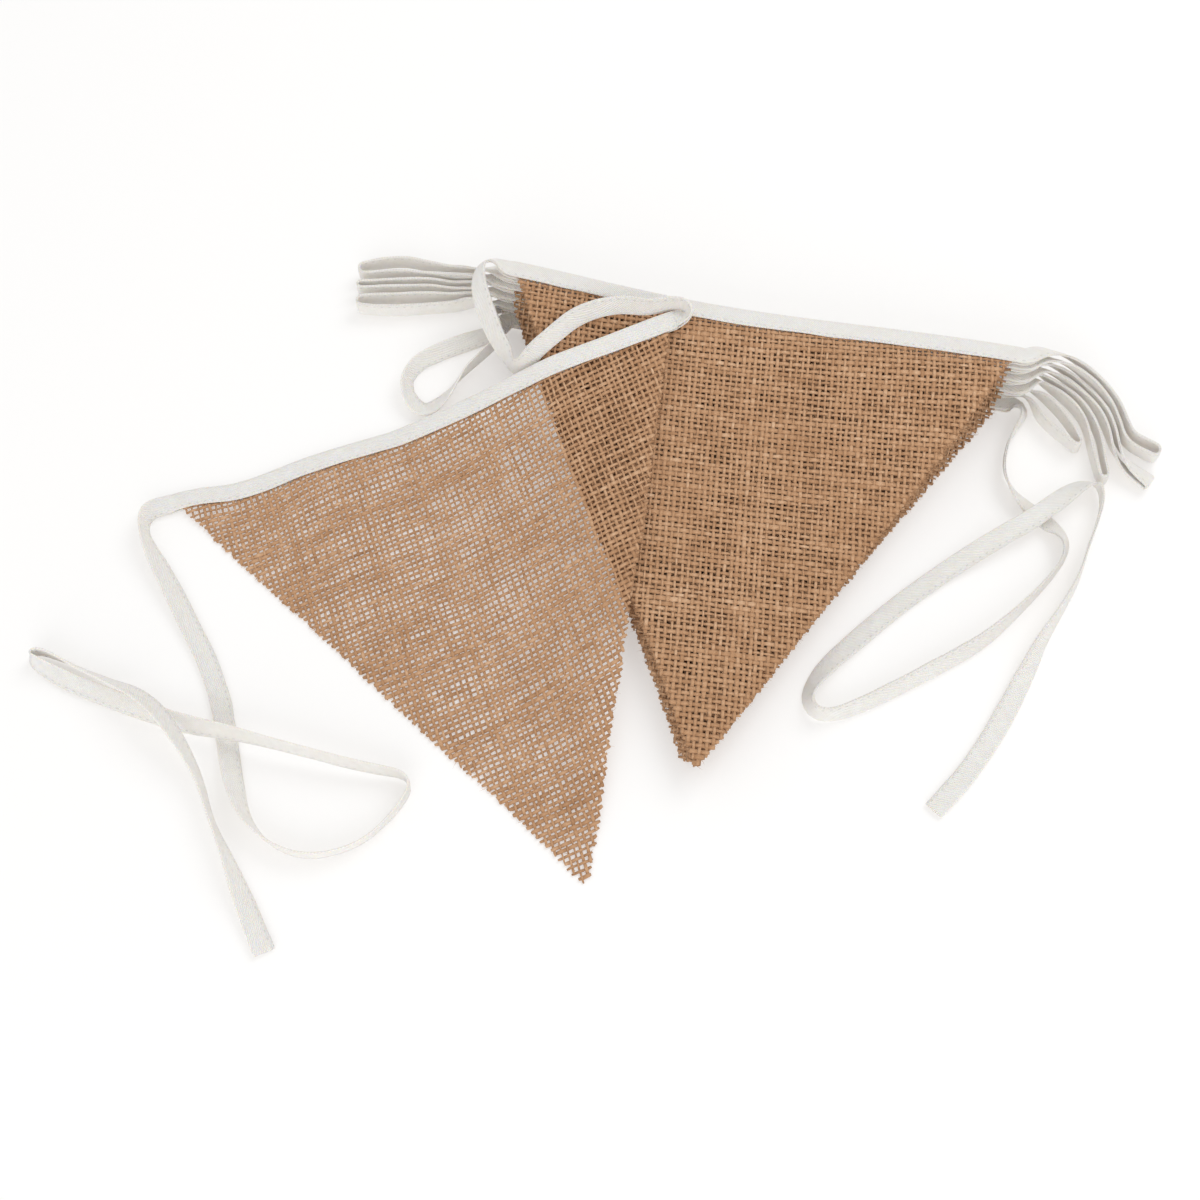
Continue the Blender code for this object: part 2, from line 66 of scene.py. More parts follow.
eye = (0.0, -CAMERA_DISTANCE * math.cos(CAMERA_RISE), CAMERA_DISTANCE * math.sin(CAMERA_RISE))
camera_data = bpy.data.cameras.new("camera")
camera_data.lens, camera_data.sensor_width = LENS, 36.0
camera = bpy.data.objects.new("camera", camera_data)
camera.location = to_metres(eye)
camera.rotation_euler = (math.pi / 2 - CAMERA_RISE, 0.0, 0.0)
bpy.context.collection.objects.link(camera)
bpy.context.scene.camera = camera
print("camera at", [round(x, 3) for x in camera.location])

# %% [markdown]
# ## How the cloth lies
# A pennant is a triangle of cloth. Its place in the pile gives the height of its underside: the sewn tape is thick,
# so the layers stand 3 mm apart there and sink together towards the tips. The first pennant comes off the pile and
# bends softly down to the table. These are the same sizes and rules that the solids were made with, written for
# whole arrays of points, because the yarns need many of them.

# %% Sizes of the cloth and the pile
CLOTH = 1.0  # thickness of the jute
PENNANTS = 10
LAYERS = PENNANTS - 1
PILE_WIDTH, PILE_DROP = 198.0, 189.0
FRONT_WIDTH, FRONT_DROP = 201.0, 195.5
TAPE_WIDTH = 7.5  # folded in half
FOLD_ABOVE_EDGE = 0.7  # how far the fold stands past a pennant's top edge
TAPE_MIDDLE = TAPE_WIDTH / 2 - FOLD_ABOVE_EDGE
TAPE_BELOW_CLOTH, TAPE_LIFT = 0.85, 0.1  # what it and its room take below the cloth
EDGE_PITCH, TIP_PITCH = 3.0, 1.45  # height of a layer at the tape and at the tip
FLAT_TO, FALL_LENGTH = 15.0, 98.0  # where the layers start to sink together, and over what length
LIFT_TO, TAPE_FADE = 17.0, 14.0  # how far the tape lifts the cloth, and over what length that fades
RIDGE, RIDGE_ALONG, RIDGE_PHASE, RIDGE_DOWN, RIDGE_FADE = 0.5, 27.0, 0.6, 34.0, 40.0  # soft waves of the cloth
PILE_AT, PILE_TURN = (63.2, 115.1), math.radians(-11.9)
TIP_LEAN = 9.0  # how far the tip hangs to the right of the middle
PILE_BOW, BOW_SHARP, BOW_SKEW = 5.2, 1.5, 1.3  # how the top edges bow
FRONT_AT, FRONT_TURN = (-67.7, 76.2), math.radians(18.9)
FRONT_CLEARANCE, SOFT_BEND = 2.8, 8.0  # its height over the pile, and its bend past the edge
RUN_AT_TAPE, RUN_AT_TIP, LANDING = 105.0, 55.0, 1.35  # the first pennant's way down to the table
FRONT_BOW, BOW_AT, BOW_REACH, BOW_CORNER, BOW_FADE = 3.0, 27.0, 40.0, 22.0, 80.0
FIRST_ROW = 9.0  # from the top edge to the first cloth below the tape

PILE = [  # from the lowest layer up: turn in degrees, along, away, lean of the tip, drop
    (0.1, 1.0, -6.0, 3.0, 177.0),
    (0.4, -0.6, -1.8, 8.0, 180.0),
    (0.6, -1.4, -2.0, 4.5, 181.0),
    (-0.8, 1.2, -2.4, 9.0, 182.0),
    (0.4, -1.6, -2.0, 5.0, 183.0),
    (-0.5, 0.8, -1.6, 9.5, 185.0),
    (0.6, -1.0, -1.2, 6.0, 186.0),
    (-0.3, 0.9, -0.6, 8.0, 187.0),
    (0.0, 0.0, 0.0, TIP_LEAN, PILE_DROP),
]


def ease(t):
    """0 to 1 with soft ends."""
    t = np.clip(t, 0.0, 1.0)
    return t * t * (3.0 - 2.0 * t)


def axes(turn):
    """The direction along a pennant's top edge, and the one down to its tip."""
    return np.array([math.cos(turn), math.sin(turn)]), np.array([math.sin(turn), -math.cos(turn)])


PILE_ALONG, PILE_DOWN = axes(PILE_TURN)


# %% Heights in the pile and of the first pennant
def in_pile(x, y):
    """How far places are along the pile's top edge, and down from it to the tip."""
    from_x, from_y = x - PILE_AT[0], y - PILE_AT[1]
    return from_x * PILE_ALONG[0] + from_y * PILE_ALONG[1], from_x * PILE_DOWN[0] + from_y * PILE_DOWN[1]


def tape_lift(down, lift_to):
    """How far the tape under a pennant lifts its cloth off what lies below."""
    return (TAPE_BELOW_CLOTH + TAPE_LIFT) * (1.0 - ease((down - lift_to) / TAPE_FADE))


def pile_height(x, y, layer):
    """Height of the underside of a layer of the pile."""
    along, down = in_pile(x, y)
    fallen = 1.0 - np.clip((down - FLAT_TO) / FALL_LENGTH, 0.0, 1.0)
    pitch = TIP_PITCH + (EDGE_PITCH - TIP_PITCH) * fallen**2
    wave = np.sin(along / RIDGE_ALONG + RIDGE_PHASE) * np.cos(down / RIDGE_DOWN)
    wave = wave * RIDGE * ease((down - FLAT_TO) / RIDGE_FADE)
    return layer * pitch + tape_lift(down, LIFT_TO) + wave * layer / (LAYERS - 1)


def front_height(x, y):
    """Height of the underside of the first pennant: over the pile, then down to the table."""
    along, down = in_pile(x, y)
    down = np.maximum(down, 0.0)
    edge = -PILE_WIDTH / 2 * (1.0 - down / PILE_DROP) + TIP_LEAN * down / PILE_DROP
    outside = edge - along
    softened = (outside + np.hypot(outside, SOFT_BEND)) / 2
    over = np.maximum(along, edge)
    on_pile_x = PILE_AT[0] + PILE_ALONG[0] * over + PILE_DOWN[0] * down
    on_pile_y = PILE_AT[1] + PILE_ALONG[1] * over + PILE_DOWN[1] * down
    top = pile_height(on_pile_x, on_pile_y, LAYERS - 1) + CLOTH + FRONT_CLEARANCE
    run = RUN_AT_TAPE + (RUN_AT_TIP - RUN_AT_TAPE) * np.minimum(down / PILE_DROP, 1.2)
    t = np.clip(1.0 - softened / run, 0.0, 1.0)
    own_down = axes(FRONT_TURN)[1]
    below_edge = (x - FRONT_AT[0]) * own_down[0] + (y - FRONT_AT[1]) * own_down[1]
    return np.maximum(top * t**LANDING, tape_lift(below_edge, FIRST_ROW))


# %% Where a pennant lies
class Pennant:
    """One pennant: from a place on the flat cloth to its place in the pile."""

    def __init__(self, number):
        self.number = number
        self.layer = PENNANTS - number
        if number == 1:
            self.at, self.turn, self.lean = np.array(FRONT_AT), FRONT_TURN, 0.0
            self.width, self.drop = FRONT_WIDTH, FRONT_DROP
        else:
            turn, along, away, self.lean, self.drop = PILE[self.layer]
            self.at = np.array(PILE_AT) + PILE_ALONG * along - PILE_DOWN * away
            self.turn = PILE_TURN + math.radians(turn)
            self.width = PILE_WIDTH
        self.along, self.down = axes(self.turn)

    def bow(self, along):
        """How far the top edge bows towards the tip."""
        s = along / self.width + 0.5
        if self.number == 1:
            t = (s * self.width - BOW_AT) / BOW_REACH
            return FRONT_BOW * np.exp(-t * t * 4.0) * ease(s * self.width / BOW_CORNER)
        return PILE_BOW * np.sin(math.pi * np.clip(s, 0.0, 1.0)) ** BOW_SHARP * (BOW_SKEW - s)

    def point(self, along, down, above=0.0):
        """Points of the lying cloth, a height above its underside."""
        bowed = self.bow(along) * (1.0 - np.minimum(down / BOW_FADE, 1.0))
        a, d = along + self.lean * down / self.drop, down + bowed
        x = self.at[0] + self.along[0] * a + self.down[0] * d
        y = self.at[1] + self.along[1] * a + self.down[1] * d
        z = front_height(x, y) if self.number == 1 else pile_height(x, y, self.layer)
        return np.stack([x, y, z + above], axis=-1)

    def lying(self, flat, above):
        """Where points of the flat cloth lie, a height above its underside, and the way its face looks."""
        along, down = flat[:, 0], flat[:, 1]
        here = self.point(along, down)
        normals = np.cross(self.point(along, down + 1.0) - here, self.point(along + 1.0, down) - here)
        return self.point(along, down, above), normals


pennants = {number: Pennant(number) for number in range(1, PENNANTS + 1)}
print("pennant 1 corners", [[round(v) for v in pennants[1].point(s * FRONT_WIDTH / 2, 0.0)] for s in (-1, 1)])

# %% [markdown]
# ## Woven jute
# Jute cloth of this kind is a plain weave of thick hairy yarns with open holes between them: each warp yarn, which
# runs from the top edge to the tip, goes over one weft yarn and under the next. It could be a flat sheet with a
# woven picture on it, but then light would not pass through the holes and the cut edges would be straight lines.
# So each yarn is made as its own soft tube, with thick and thin stretches, a wandering path and an uneven end.

# %% Uneven numbers
LONG_WAVES = 5


def slow_noise(rng, scale, amount):
    """A smooth uneven function of two numbers, as a sum of a few long waves."""
    waves = rng.normal(0.0, 1.0 / scale, (LONG_WAVES, 2))
    phases = rng.uniform(0.0, 2 * math.pi, LONG_WAVES)

    def value(x, y):
        total = sum(np.sin(kx * x + ky * y + p) for (kx, ky), p in zip(waves, phases))
        return amount * total / math.sqrt(LONG_WAVES)

    return value


def uneven(rng, count, reach):
    """A smooth uneven line of numbers about 0: random steps, evened out over a reach of points."""
    raw = rng.normal(0.0, 1.0, count + 2 * reach)
    kernel = np.hanning(2 * reach + 1)
    return np.convolve(raw, kernel / math.sqrt((kernel**2).sum()), mode="valid")


# %% [markdown]
# A tube is made from rings of points. All the yarns of a pennant go into one mesh. Three numbers are kept at each
# point for the material: how far along the yarn it is and its place around it, turned with the yarn's twist, so
# that fine fibres can wind round the yarn. A fourth is its shade: its own tone, as no two stretches of jute have the
# same colour, with a painted highlight where the yarn rises and painted shade where it sinks.

# %% Meshes from rings of points
def unit(vectors):
    """Rows of vectors, each brought to length 1."""
    return vectors / np.linalg.norm(vectors, axis=1, keepdims=True)


def lengths_along(points):
    """How far each point of a line is from its start, along the line."""
    return np.concatenate([[0.0], np.cumsum(np.linalg.norm(np.diff(points, axis=0), axis=1))])


def tube_faces(count, size):
    """The faces between a tube's rings, and its two ends."""
    k, i = np.meshgrid(np.arange(count - 1), np.arange(size), indexing="ij")
    j = (i + 1) % size
    quads = np.stack([k * size + i, k * size + j, (k + 1) * size + j, (k + 1) * size + i], axis=-1)
    ends = np.array([np.arange(size)[::-1], (count - 1) * size + np.arange(size)])
    return quads.reshape(-1, 4), ends


def new_piece(name, points, faces, material, **kept):
    """A smooth mesh from points in millimetres, with the numbers for its material kept at each point."""
    mesh = bpy.data.meshes.new(name)
    mesh.from_pydata(to_metres(points).tolist(), [], faces)
    for key, values in kept.items():
        if values.ndim == 2:
            mesh.attributes.new(key, "FLOAT_VECTOR", "POINT").data.foreach_set("vector", values.ravel())
        else:
            mesh.attributes.new(key, "FLOAT", "POINT").data.foreach_set("value", values)
    mesh.shade_smooth()
    mesh.materials.append(material)
    piece = bpy.data.objects.new(name, mesh)
    bpy.context.collection.objects.link(piece)
    return piece


# %% Tubes of yarn
FIBRE_TWIST = 0.9  # turns of the fibres, in radians for each mm


class TubeMesh:
    """Collects tubes and fibres, then makes one mesh of them."""

    def __init__(self):
        self.points, self.faces, self.fibres, self.shades = [], [], [], []
        self.count = 0

    def add(self, centres, normals, half_widths, half_thicks, shades, sides, start):
        """One yarn: a flattened tube along its centres."""
        ahead = unit(np.gradient(centres, axis=0))
        across = unit(np.cross(normals, ahead))
        up = np.cross(ahead, across)
        angles = np.arange(sides) * 2 * math.pi / sides + math.pi / sides
        ring = across[:, None] * (np.cos(angles)[None, :, None] * half_widths[:, None, None])
        ring = ring + up[:, None] * (np.sin(angles)[None, :, None] * half_thicks[:, None, None])
        self.points.append((centres[:, None] + ring).reshape(-1, 3))
        run = start + lengths_along(centres)
        wound = angles[None, :] + FIBRE_TWIST * run[:, None]
        along = np.repeat(run[:, None], sides, axis=1)
        self.fibres.append(np.stack([along, np.cos(wound), np.sin(wound)], axis=-1).reshape(-1, 3))
        self.shades.append(np.repeat(shades, sides))
        quads, ends = tube_faces(len(centres), sides)
        self.faces += (quads + self.count).tolist() + (ends + self.count).tolist()
        self.count += len(centres) * sides

    def add_hairs(self, roots, sides, tips, shades):
        """Fine fibres that stand off the yarns, each a thin triangle."""
        n = len(roots)
        self.points.append(np.stack([roots - sides, roots + sides, tips], axis=1).reshape(-1, 3))
        reach = np.linalg.norm(tips - roots, axis=1)
        along = np.stack([np.zeros(n), np.zeros(n), reach], axis=1)
        self.fibres.append(np.stack([along, np.zeros((n, 3)), np.zeros((n, 3))], axis=-1).reshape(-1, 3))
        self.shades.append(np.repeat(shades, 3))
        self.faces += (np.arange(3 * n).reshape(-1, 3) + self.count).tolist()
        self.count += 3 * n

    def make(self, name, material):
        """The mesh of all that was added."""
        points, fibres, shades = (np.concatenate(rows) for rows in (self.points, self.fibres, self.shades))
        return new_piece(name, points, self.faces, material, fibre=fibres, shade=shades)


# %% [markdown]
# ## The jute material
# Undyed jute is matt and golden brown, with pale fibre ends that catch the light and painted shade deep in the weave.
# The colour follows each yarn's shade, which holds its tone and its painted crest light, and fine streaks along its
# fibres, and a small bump gives the fibres a rough look.


# %% Jute material
FIBRE_STRETCH = (0.35, 2.6, 2.6)  # draws the noise out along the yarn
STREAK_SPREAD = (0.9, -0.45)  # how strong the streaks are, and what centres them on 0
JUTE_COLOURS = [
    (0.0, (0.27, 0.13, 0.058)),
    (0.35, (0.43, 0.23, 0.115)),
    (0.6, (0.56, 0.325, 0.178)),
    (1.0, (0.80, 0.56, 0.37)),
]


def new_material(name, **values):
    """A material, and its shader with numbers or colours put straight on the sockets."""
    material = bpy.data.materials.new(name)
    material.use_nodes = True
    shader = material.node_tree.nodes["Principled BSDF"]
    for key, value in values.items():
        shader.inputs[key.replace("_", " ")].default_value = value
    return material, shader


def put(tree, socket, value):
    """A number or colour straight on a socket, or a link into it from another node."""
    if isinstance(value, bpy.types.NodeSocket):
        tree.links.new(value, socket)
    else:
        socket.default_value = value


def node(tree, kind, **values):
    """A new node with its settings and what goes into its sockets."""
    made = tree.nodes.new(kind)
    for key, value in values.items():
        if hasattr(made, key):
            setattr(made, key, value)
        else:
            put(tree, made.inputs[key.replace("_", " ")], value)
    return made


def maths(tree, operation, *values):
    """A sum of numbers and sockets as a node; gives its result's socket."""
    made = node(tree, "ShaderNodeMath", operation=operation)
    for socket, value in zip(made.inputs, values):
        put(tree, socket, value)
    return made.outputs[0]


def colour_steps(ramp_node, steps):
    """Fill a colour ramp from rows of place and colour."""
    elements = ramp_node.color_ramp.elements
    while len(elements) < len(steps):
        elements.new(0.5)
    for element, (place, colour) in zip(elements, steps):
        element.position, element.color = place, (*colour, 1.0)


def jute_material():
    """Matt golden brown, by the yarn's shade, which holds its tone and its painted crest light, and the streaks of
    its fibres.
    """
    material, shader = new_material(
        "jute", Roughness=0.86, Specular_IOR_Level=0.25, Sheen_Weight=0.25, Sheen_Roughness=0.5,
        Sheen_Tint=(1.0, 0.86, 0.7, 1.0),
    )
    tree = material.node_tree
    fibre = node(tree, "ShaderNodeAttribute", attribute_name="fibre").outputs["Vector"]
    shade = node(tree, "ShaderNodeAttribute", attribute_name="shade").outputs["Fac"]
    stretch = node(tree, "ShaderNodeMapping", Vector=fibre, Scale=FIBRE_STRETCH).outputs["Vector"]
    noise = node(tree, "ShaderNodeTexNoise", Vector=stretch, Scale=1.6, Detail=3.0, Roughness=0.65)
    streaks = noise.outputs["Fac"]
    total = maths(tree, "ADD", maths(tree, "MULTIPLY_ADD", streaks, *STREAK_SPREAD), shade)
    ramp = node(tree, "ShaderNodeValToRGB", Fac=total)
    colour_steps(ramp, JUTE_COLOURS)
    bump = node(tree, "ShaderNodeBump", Height=streaks, Strength=0.5, Distance=0.0002)
    put(tree, shader.inputs["Base Color"], ramp.outputs["Color"])
    put(tree, shader.inputs["Normal"], bump.outputs["Normal"])
    return material


jute = jute_material()

# %% [markdown]
# ## Weaving a pennant
# The weave is laid out on the flat triangle: lines of warp and weft at their pitches, turned a little from the cut
# as they are on the real cloth, and each cut off where it meets the triangle's sides. A slow wander of the whole
# grid makes some places denser than others. Then every point goes to where the cloth lies, and rises or sinks
# as its yarn passes over or under the next.


# %% Yarns on the flat triangle
WARP_PITCH, WEFT_PITCH = 2.23, 2.15
PLACE_JITTER, PLACE_WANDER = 0.07, 0.16  # how uneven the space from yarn to yarn is
EDGE_IN_TAPE = 0.3  # no yarn comes nearer to the top edge than this
TAPED_TO = 2.0  # an end this near to the top edge is held in the tape and doesn't fray
END_FRAY = 1.1  # how far a yarn may stand out of the cut
SHORTEST_YARN, SHORTEST_STEP = 1.5, 0.15


def inside_triangle(start, step, pennant):
    """The stretch of a straight line that lies inside the flat triangle, or None."""
    half = pennant.width / 2
    slope = half / pennant.drop
    low, high = -math.inf, math.inf
    for a, d, limit in ((0.0, -1.0, -EDGE_IN_TAPE), (1.0, slope, half), (-1.0, slope, half)):
        rate, room = a * step[0] + d * step[1], limit - a * start[0] - d * start[1]
        if rate > 0:
            high = min(high, room / rate)
        elif rate < 0:
            low = max(low, room / rate)
        elif room < 0:
            return None
    return (low, high) if high - low > SHORTEST_YARN else None


def yarn_places(rng, pitch, reach):
    """Uneven places of parallel yarns, from -reach to reach."""
    count = int(2 * reach / pitch)
    even = (np.arange(count) - count / 2) * pitch
    return even + rng.normal(0.0, PLACE_JITTER, count) + PLACE_WANDER * uneven(rng, count, 3)


def yarn_line(rng, start, run, pennant, crossings, per_crossing):
    """One yarn's steps, counted in the yarns that it crosses, and their places; None if it is too short."""
    span = inside_triangle(start, run, pennant)
    if span is None:
        return None
    ends = []
    for at, out, fray in zip(span, (-1.0, 1.0), rng.uniform(0.0, END_FRAY, 2)):
        held = (start + run * at)[1] < TAPED_TO
        ends.append(at if held else at + out * fray)
    first, last = np.interp(ends, crossings, np.arange(len(crossings)))
    steps = np.arange(math.ceil(first * per_crossing), math.floor(last * per_crossing) + 1)
    steps = np.concatenate([[first], steps / per_crossing, [last]])
    steps = steps[np.concatenate([[True], np.diff(steps) > SHORTEST_STEP])]
    if len(steps) < 3:
        return None
    at = np.interp(steps, np.arange(len(crossings)), crossings)
    return steps, start[None, :] + run[None, :] * at[:, None]


# %% [markdown]
# The warp of this cloth is a little finer than the weft and rises more. A yarn gets a painted highlight where it
# rises and painted shade where it sinks, and its thick and thin stretches follow the patches of the cloth. The
# pennants deep in the pile hardly show, so their yarns get fewer sides and points.

# %% Weave one pennant
WARP_WIDTH, WEFT_WIDTH, YARN_THICK = 1.32, 1.58, 0.5
FRONT_SLACK = 0.81  # the first pennant was woven of finer yarn
WARP_CRIMP, WEFT_CRIMP = 0.28, 0.18  # how far a yarn rises and sinks
GRID_WANDER = (22.0, 0.5)  # how long and how strong the wander of the whole grid is
PATCH_SIZE, PATCH_THICK, THINNEST, THICKEST = 13.0, 0.07, 0.62, 1.65
YARN_SPREAD, SLUB = 0.10, 0.16  # how uneven the width is from yarn to yarn, and along one
SIDE_WANDER, END_TAPER = 0.09, 0.7
# base tone; its random spread from yarn to yarn, along a yarn and by patch; and the painted highlight on the crests
# and painted shade in the dips
SHADE, YARN_SHADE, LENGTH_SHADE, PATCH_SHADE, PAINTED_CREST_LIGHT = 0.46, 0.035, 0.07, 0.03, 0.13

TURNS = [  # of the weft and of the warp of each pennant, in degrees
    (6.6, -0.9), (3.5, 3.9), (-2.5, -2.0), (4.0, 3.0), (-3.0, -4.0),
    (2.0, 3.0), (-4.0, -2.0), (3.0, 4.0), (-1.5, -3.0), (2.5, 1.0),
]


def weave(pennant, material):
    """One pennant's cloth: its warp yarns, then its weft yarns."""
    rng = np.random.default_rng(100 + pennant.number)
    sides, per_crossing = (5, 2) if pennant.number <= 2 else (3, 1)
    weft_turn, warp_turn = map(math.radians, TURNS[pennant.number - 1])
    weft_run = np.array([math.cos(weft_turn), -math.sin(weft_turn)])
    warp_run = np.array([math.sin(warp_turn), math.cos(warp_turn)])
    middle = np.array([0.0, pennant.drop / 2])
    reach = pennant.width * 0.75
    warp_at = yarn_places(rng, WARP_PITCH, reach)
    weft_at = yarn_places(rng, WEFT_PITCH, reach)
    wanders = [slow_noise(rng, *GRID_WANDER) for _ in range(2)]
    patches = slow_noise(rng, PATCH_SIZE, 1.0)
    tubes = TubeMesh()
    slack = FRONT_SLACK if pennant.number == 1 else 1.0
    systems = [
        (warp_at, weft_run, warp_run, weft_at, 1.0, WARP_CRIMP, WARP_WIDTH * slack),
        (weft_at, warp_run, weft_run, warp_at, -1.0, WEFT_CRIMP, WEFT_WIDTH * slack),
    ]
    for places, aside, run, crossings, over, crimp, width in systems:
        for i, place in enumerate(places):
            line = yarn_line(rng, middle + aside * place, run, pennant, crossings, per_crossing)
            if line is None:
                continue
            steps, flat = line
            count = len(steps)
            thick = 1.0 + YARN_SPREAD * rng.normal() + SLUB * uneven(rng, count, 4 * per_crossing)
            side_step = SIDE_WANDER * uneven(rng, count, 2 * per_crossing)
            flat = flat + aside[None, :] * side_step[:, None]
            flat = flat + np.stack([wander(flat[:, 0], flat[:, 1]) for wander in wanders], axis=-1)
            flat[:, 1] = np.maximum(flat[:, 1], EDGE_IN_TAPE)
            patch = patches(flat[:, 0], flat[:, 1])
            thick = np.clip(thick + PATCH_THICK * patch, THINNEST, THICKEST)
            wave = over * np.cos(math.pi * (steps + i))
            centres, normals = pennant.lying(flat, CLOTH / 2 + crimp * wave)
            half_widths = width / 2 * thick
            half_widths[[0, -1]] *= END_TAPER
            half_thicks = YARN_THICK / 2 * np.sqrt(thick)
            shades = SHADE + YARN_SHADE * rng.normal() + LENGTH_SHADE * uneven(rng, count, 2 * per_crossing)
            # painted highlight where the yarn rises over the next yarn, and painted shade where it sinks under it
            shades = shades - PATCH_SHADE * patch + PAINTED_CREST_LIGHT * wave
            tubes.add(centres, normals, half_widths, half_thicks, shades, sides, rng.uniform(0, 500))
    piece = tubes.make(f"jute_pennant_{pennant.number:02d}", material)
    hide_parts(f"pennant_{pennant.number:02d}")
    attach(piece, "root")
    return piece


# %% [markdown]
# Jute is hairy: short stiff fibres stand off the yarns and stick out of the cut sides. Each is one thin triangle,
# and a pennant's fibres are a piece of their own, because they add nothing to the cloth that was cut.

# %% Loose fibres
HAIR_LENGTH, HAIR_WIDTH = (1.2, 3.4), 0.15
HAIRS, HIDDEN_HAIRS = {1: 3500, 2: 13000}, 1200  # fibres on each pennant
SIDE_HAIRS, SIDE_LENGTH = 0.12, 0.7  # the share at the cut sides, and how much shorter it is
SIDE_LEAN = (0.5, 0.7)  # mean and spread of its turn towards the tip, in radians
ROOT_HEIGHT, TIP_HEIGHT = (0.3, 0.9), (0.5, 1.1)  # above the underside of the cloth
ROOTS_FROM, TIPS_FROM = 2.0, 1.5  # how near to the top edge they come
HAIR_SHADES = (0.3, 0.68)


def fuzz(pennant, material):
    """The fibres of a pennant: most lie over the weave, and a part stands out of the cut sides."""
    rng = np.random.default_rng(200 + pennant.number)
    count = HAIRS.get(pennant.number, HIDDEN_HAIRS)
    down = pennant.drop * (1.0 - np.sqrt(rng.uniform(0.0, 1.0, count)))
    half = pennant.width / 2 * (1.0 - down / pennant.drop)
    along = rng.uniform(-1.0, 1.0, count) * half
    turn = rng.uniform(0.0, 2 * math.pi, count)
    at_side = rng.uniform(0.0, 1.0, count) < SIDE_HAIRS
    side = np.sign(along)
    along = np.where(at_side, side * (half - rng.uniform(0.0, 1.0, count)), along)
    turn = np.where(at_side, np.where(side > 0, 0.0, math.pi) + side * rng.normal(*SIDE_LEAN, count), turn)
    down = np.maximum(down, ROOTS_FROM)
    length = rng.uniform(*HAIR_LENGTH, count) * np.where(at_side, SIDE_LENGTH, 1.0)
    low, high = rng.uniform(*ROOT_HEIGHT, count), rng.uniform(*TIP_HEIGHT, count)
    roots = pennant.point(along, down, low)
    tips_down = np.maximum(down + length * np.sin(turn), TIPS_FROM)
    tips = pennant.point(along + length * np.cos(turn), tips_down, high)
    sides = pennant.point(along - np.sin(turn) * HAIR_WIDTH / 2, down + np.cos(turn) * HAIR_WIDTH / 2, low) - roots
    hairs = TubeMesh()
    hairs.add_hairs(roots, sides, tips, rng.uniform(*HAIR_SHADES, count))
    piece = hairs.make(f"jute_fibres_{pennant.number:02d}", material)
    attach(piece, "root")
    return piece

# %% Make the ten pennants
def triangle_count(piece):
    """How many triangles a piece's faces come to."""
    return sum(len(face.vertices) - 2 for face in piece.data.polygons)


cloths, fibres = {}, {}
for number, pennant in pennants.items():
    cloths[number] = weave(pennant, jute)
    fibres[number] = fuzz(pennant, jute)
print("triangles of cloth", [triangle_count(piece) for piece in cloths.values()])
print("fibres", [triangle_count(piece) for piece in fibres.values()])

# %% [markdown]
# ## The way of the tape
# One cotton tape runs through the whole bunting. It is folded in half along its length, and sewn near its open
# edge: over a pennant the cloth's top edge lies in the fold, and between pennants the two layers lie on each other.
# The loose stretches are drawn through the listed stations, the same ones that the solids follow. Each is x, y,
# z and a roll, as a loose tape likes to stand on its edge where it turns sideways, and to lie flat where it runs on.

# %% Stations of the loose tape
LINK_1_2 = [
    (32.4, 106.2, 29.4, 50.0),
    (34.2, 108.6, 31.2, 84.0),
    (31.0, 111.4, 31.8, 88.0),
    (25.0, 110.8, 31.6, 80.0),
    (17.4, 109.8, 31.4, 70.0),
    (8.2, 111.4, 30.6, 60.0),
    (-1.0, 110.6, 29.4, 55.0),
    (-9.8, 107.2, 27.6, 52.0),
    (-17.2, 101.4, 26.2, 45.0),
    (-23.8, 96.4, 23.6, 42.0),
    (-29.8, 93.0, 17.0, 52.0),
    (-33.6, 94.4, 14.0, 84.0),
    (-36.0, 99.8, 13.8, 60.0),
    (-39.4, 105.2, 16.0, 36.0),
    (-43.0, 111.6, 20.0, 24.0),
    (-45.8, 118.8, 24.2, 24.0),
    (-47.4, 125.8, 27.8, 40.0),
    (-46.4, 131.8, 29.4, 62.0),
    (-42.2, 134.8, 28.4, 46.0),
]
LINK_9_10 = [
    (-39.1, 129.7, 3.8, -22.9),
    (-42.4, 127.5, 3.4, -50.2),
    (-42.1, 124.5, 6.5, -88.5),
    (-40.3, 120.3, 6.3, -79.8),
    (-39.4, 116.6, 6.0, -90.0),
    (-43.2, 110.4, 5.2, -90.0),
    (-48.4, 104.8, 4.6, -86.0),
    (-53.4, 98.8, 4.4, -80.0),
    (-57.2, 92.6, 4.4, -64.0),
    (-62.6, 85.2, 3.4, -36.0),
    (-68.4, 82.0, 2.2, -16.0),
    (-74.0, 86.4, 2.8, -34.0),
    (-76.0, 94.6, 4.2, -62.0),
    (-72.0, 102.8, 4.2, -62.0),
    (-63.2, 109.0, 3.6, -48.0),
    (-54.0, 113.6, 3.0, -38.0),
    (-47.4, 117.2, 1.6, -11.3),
    (-42.7, 120.3, 0.8, -0.9),
    (-39.1, 123.5, 1.4, 2.3),
]
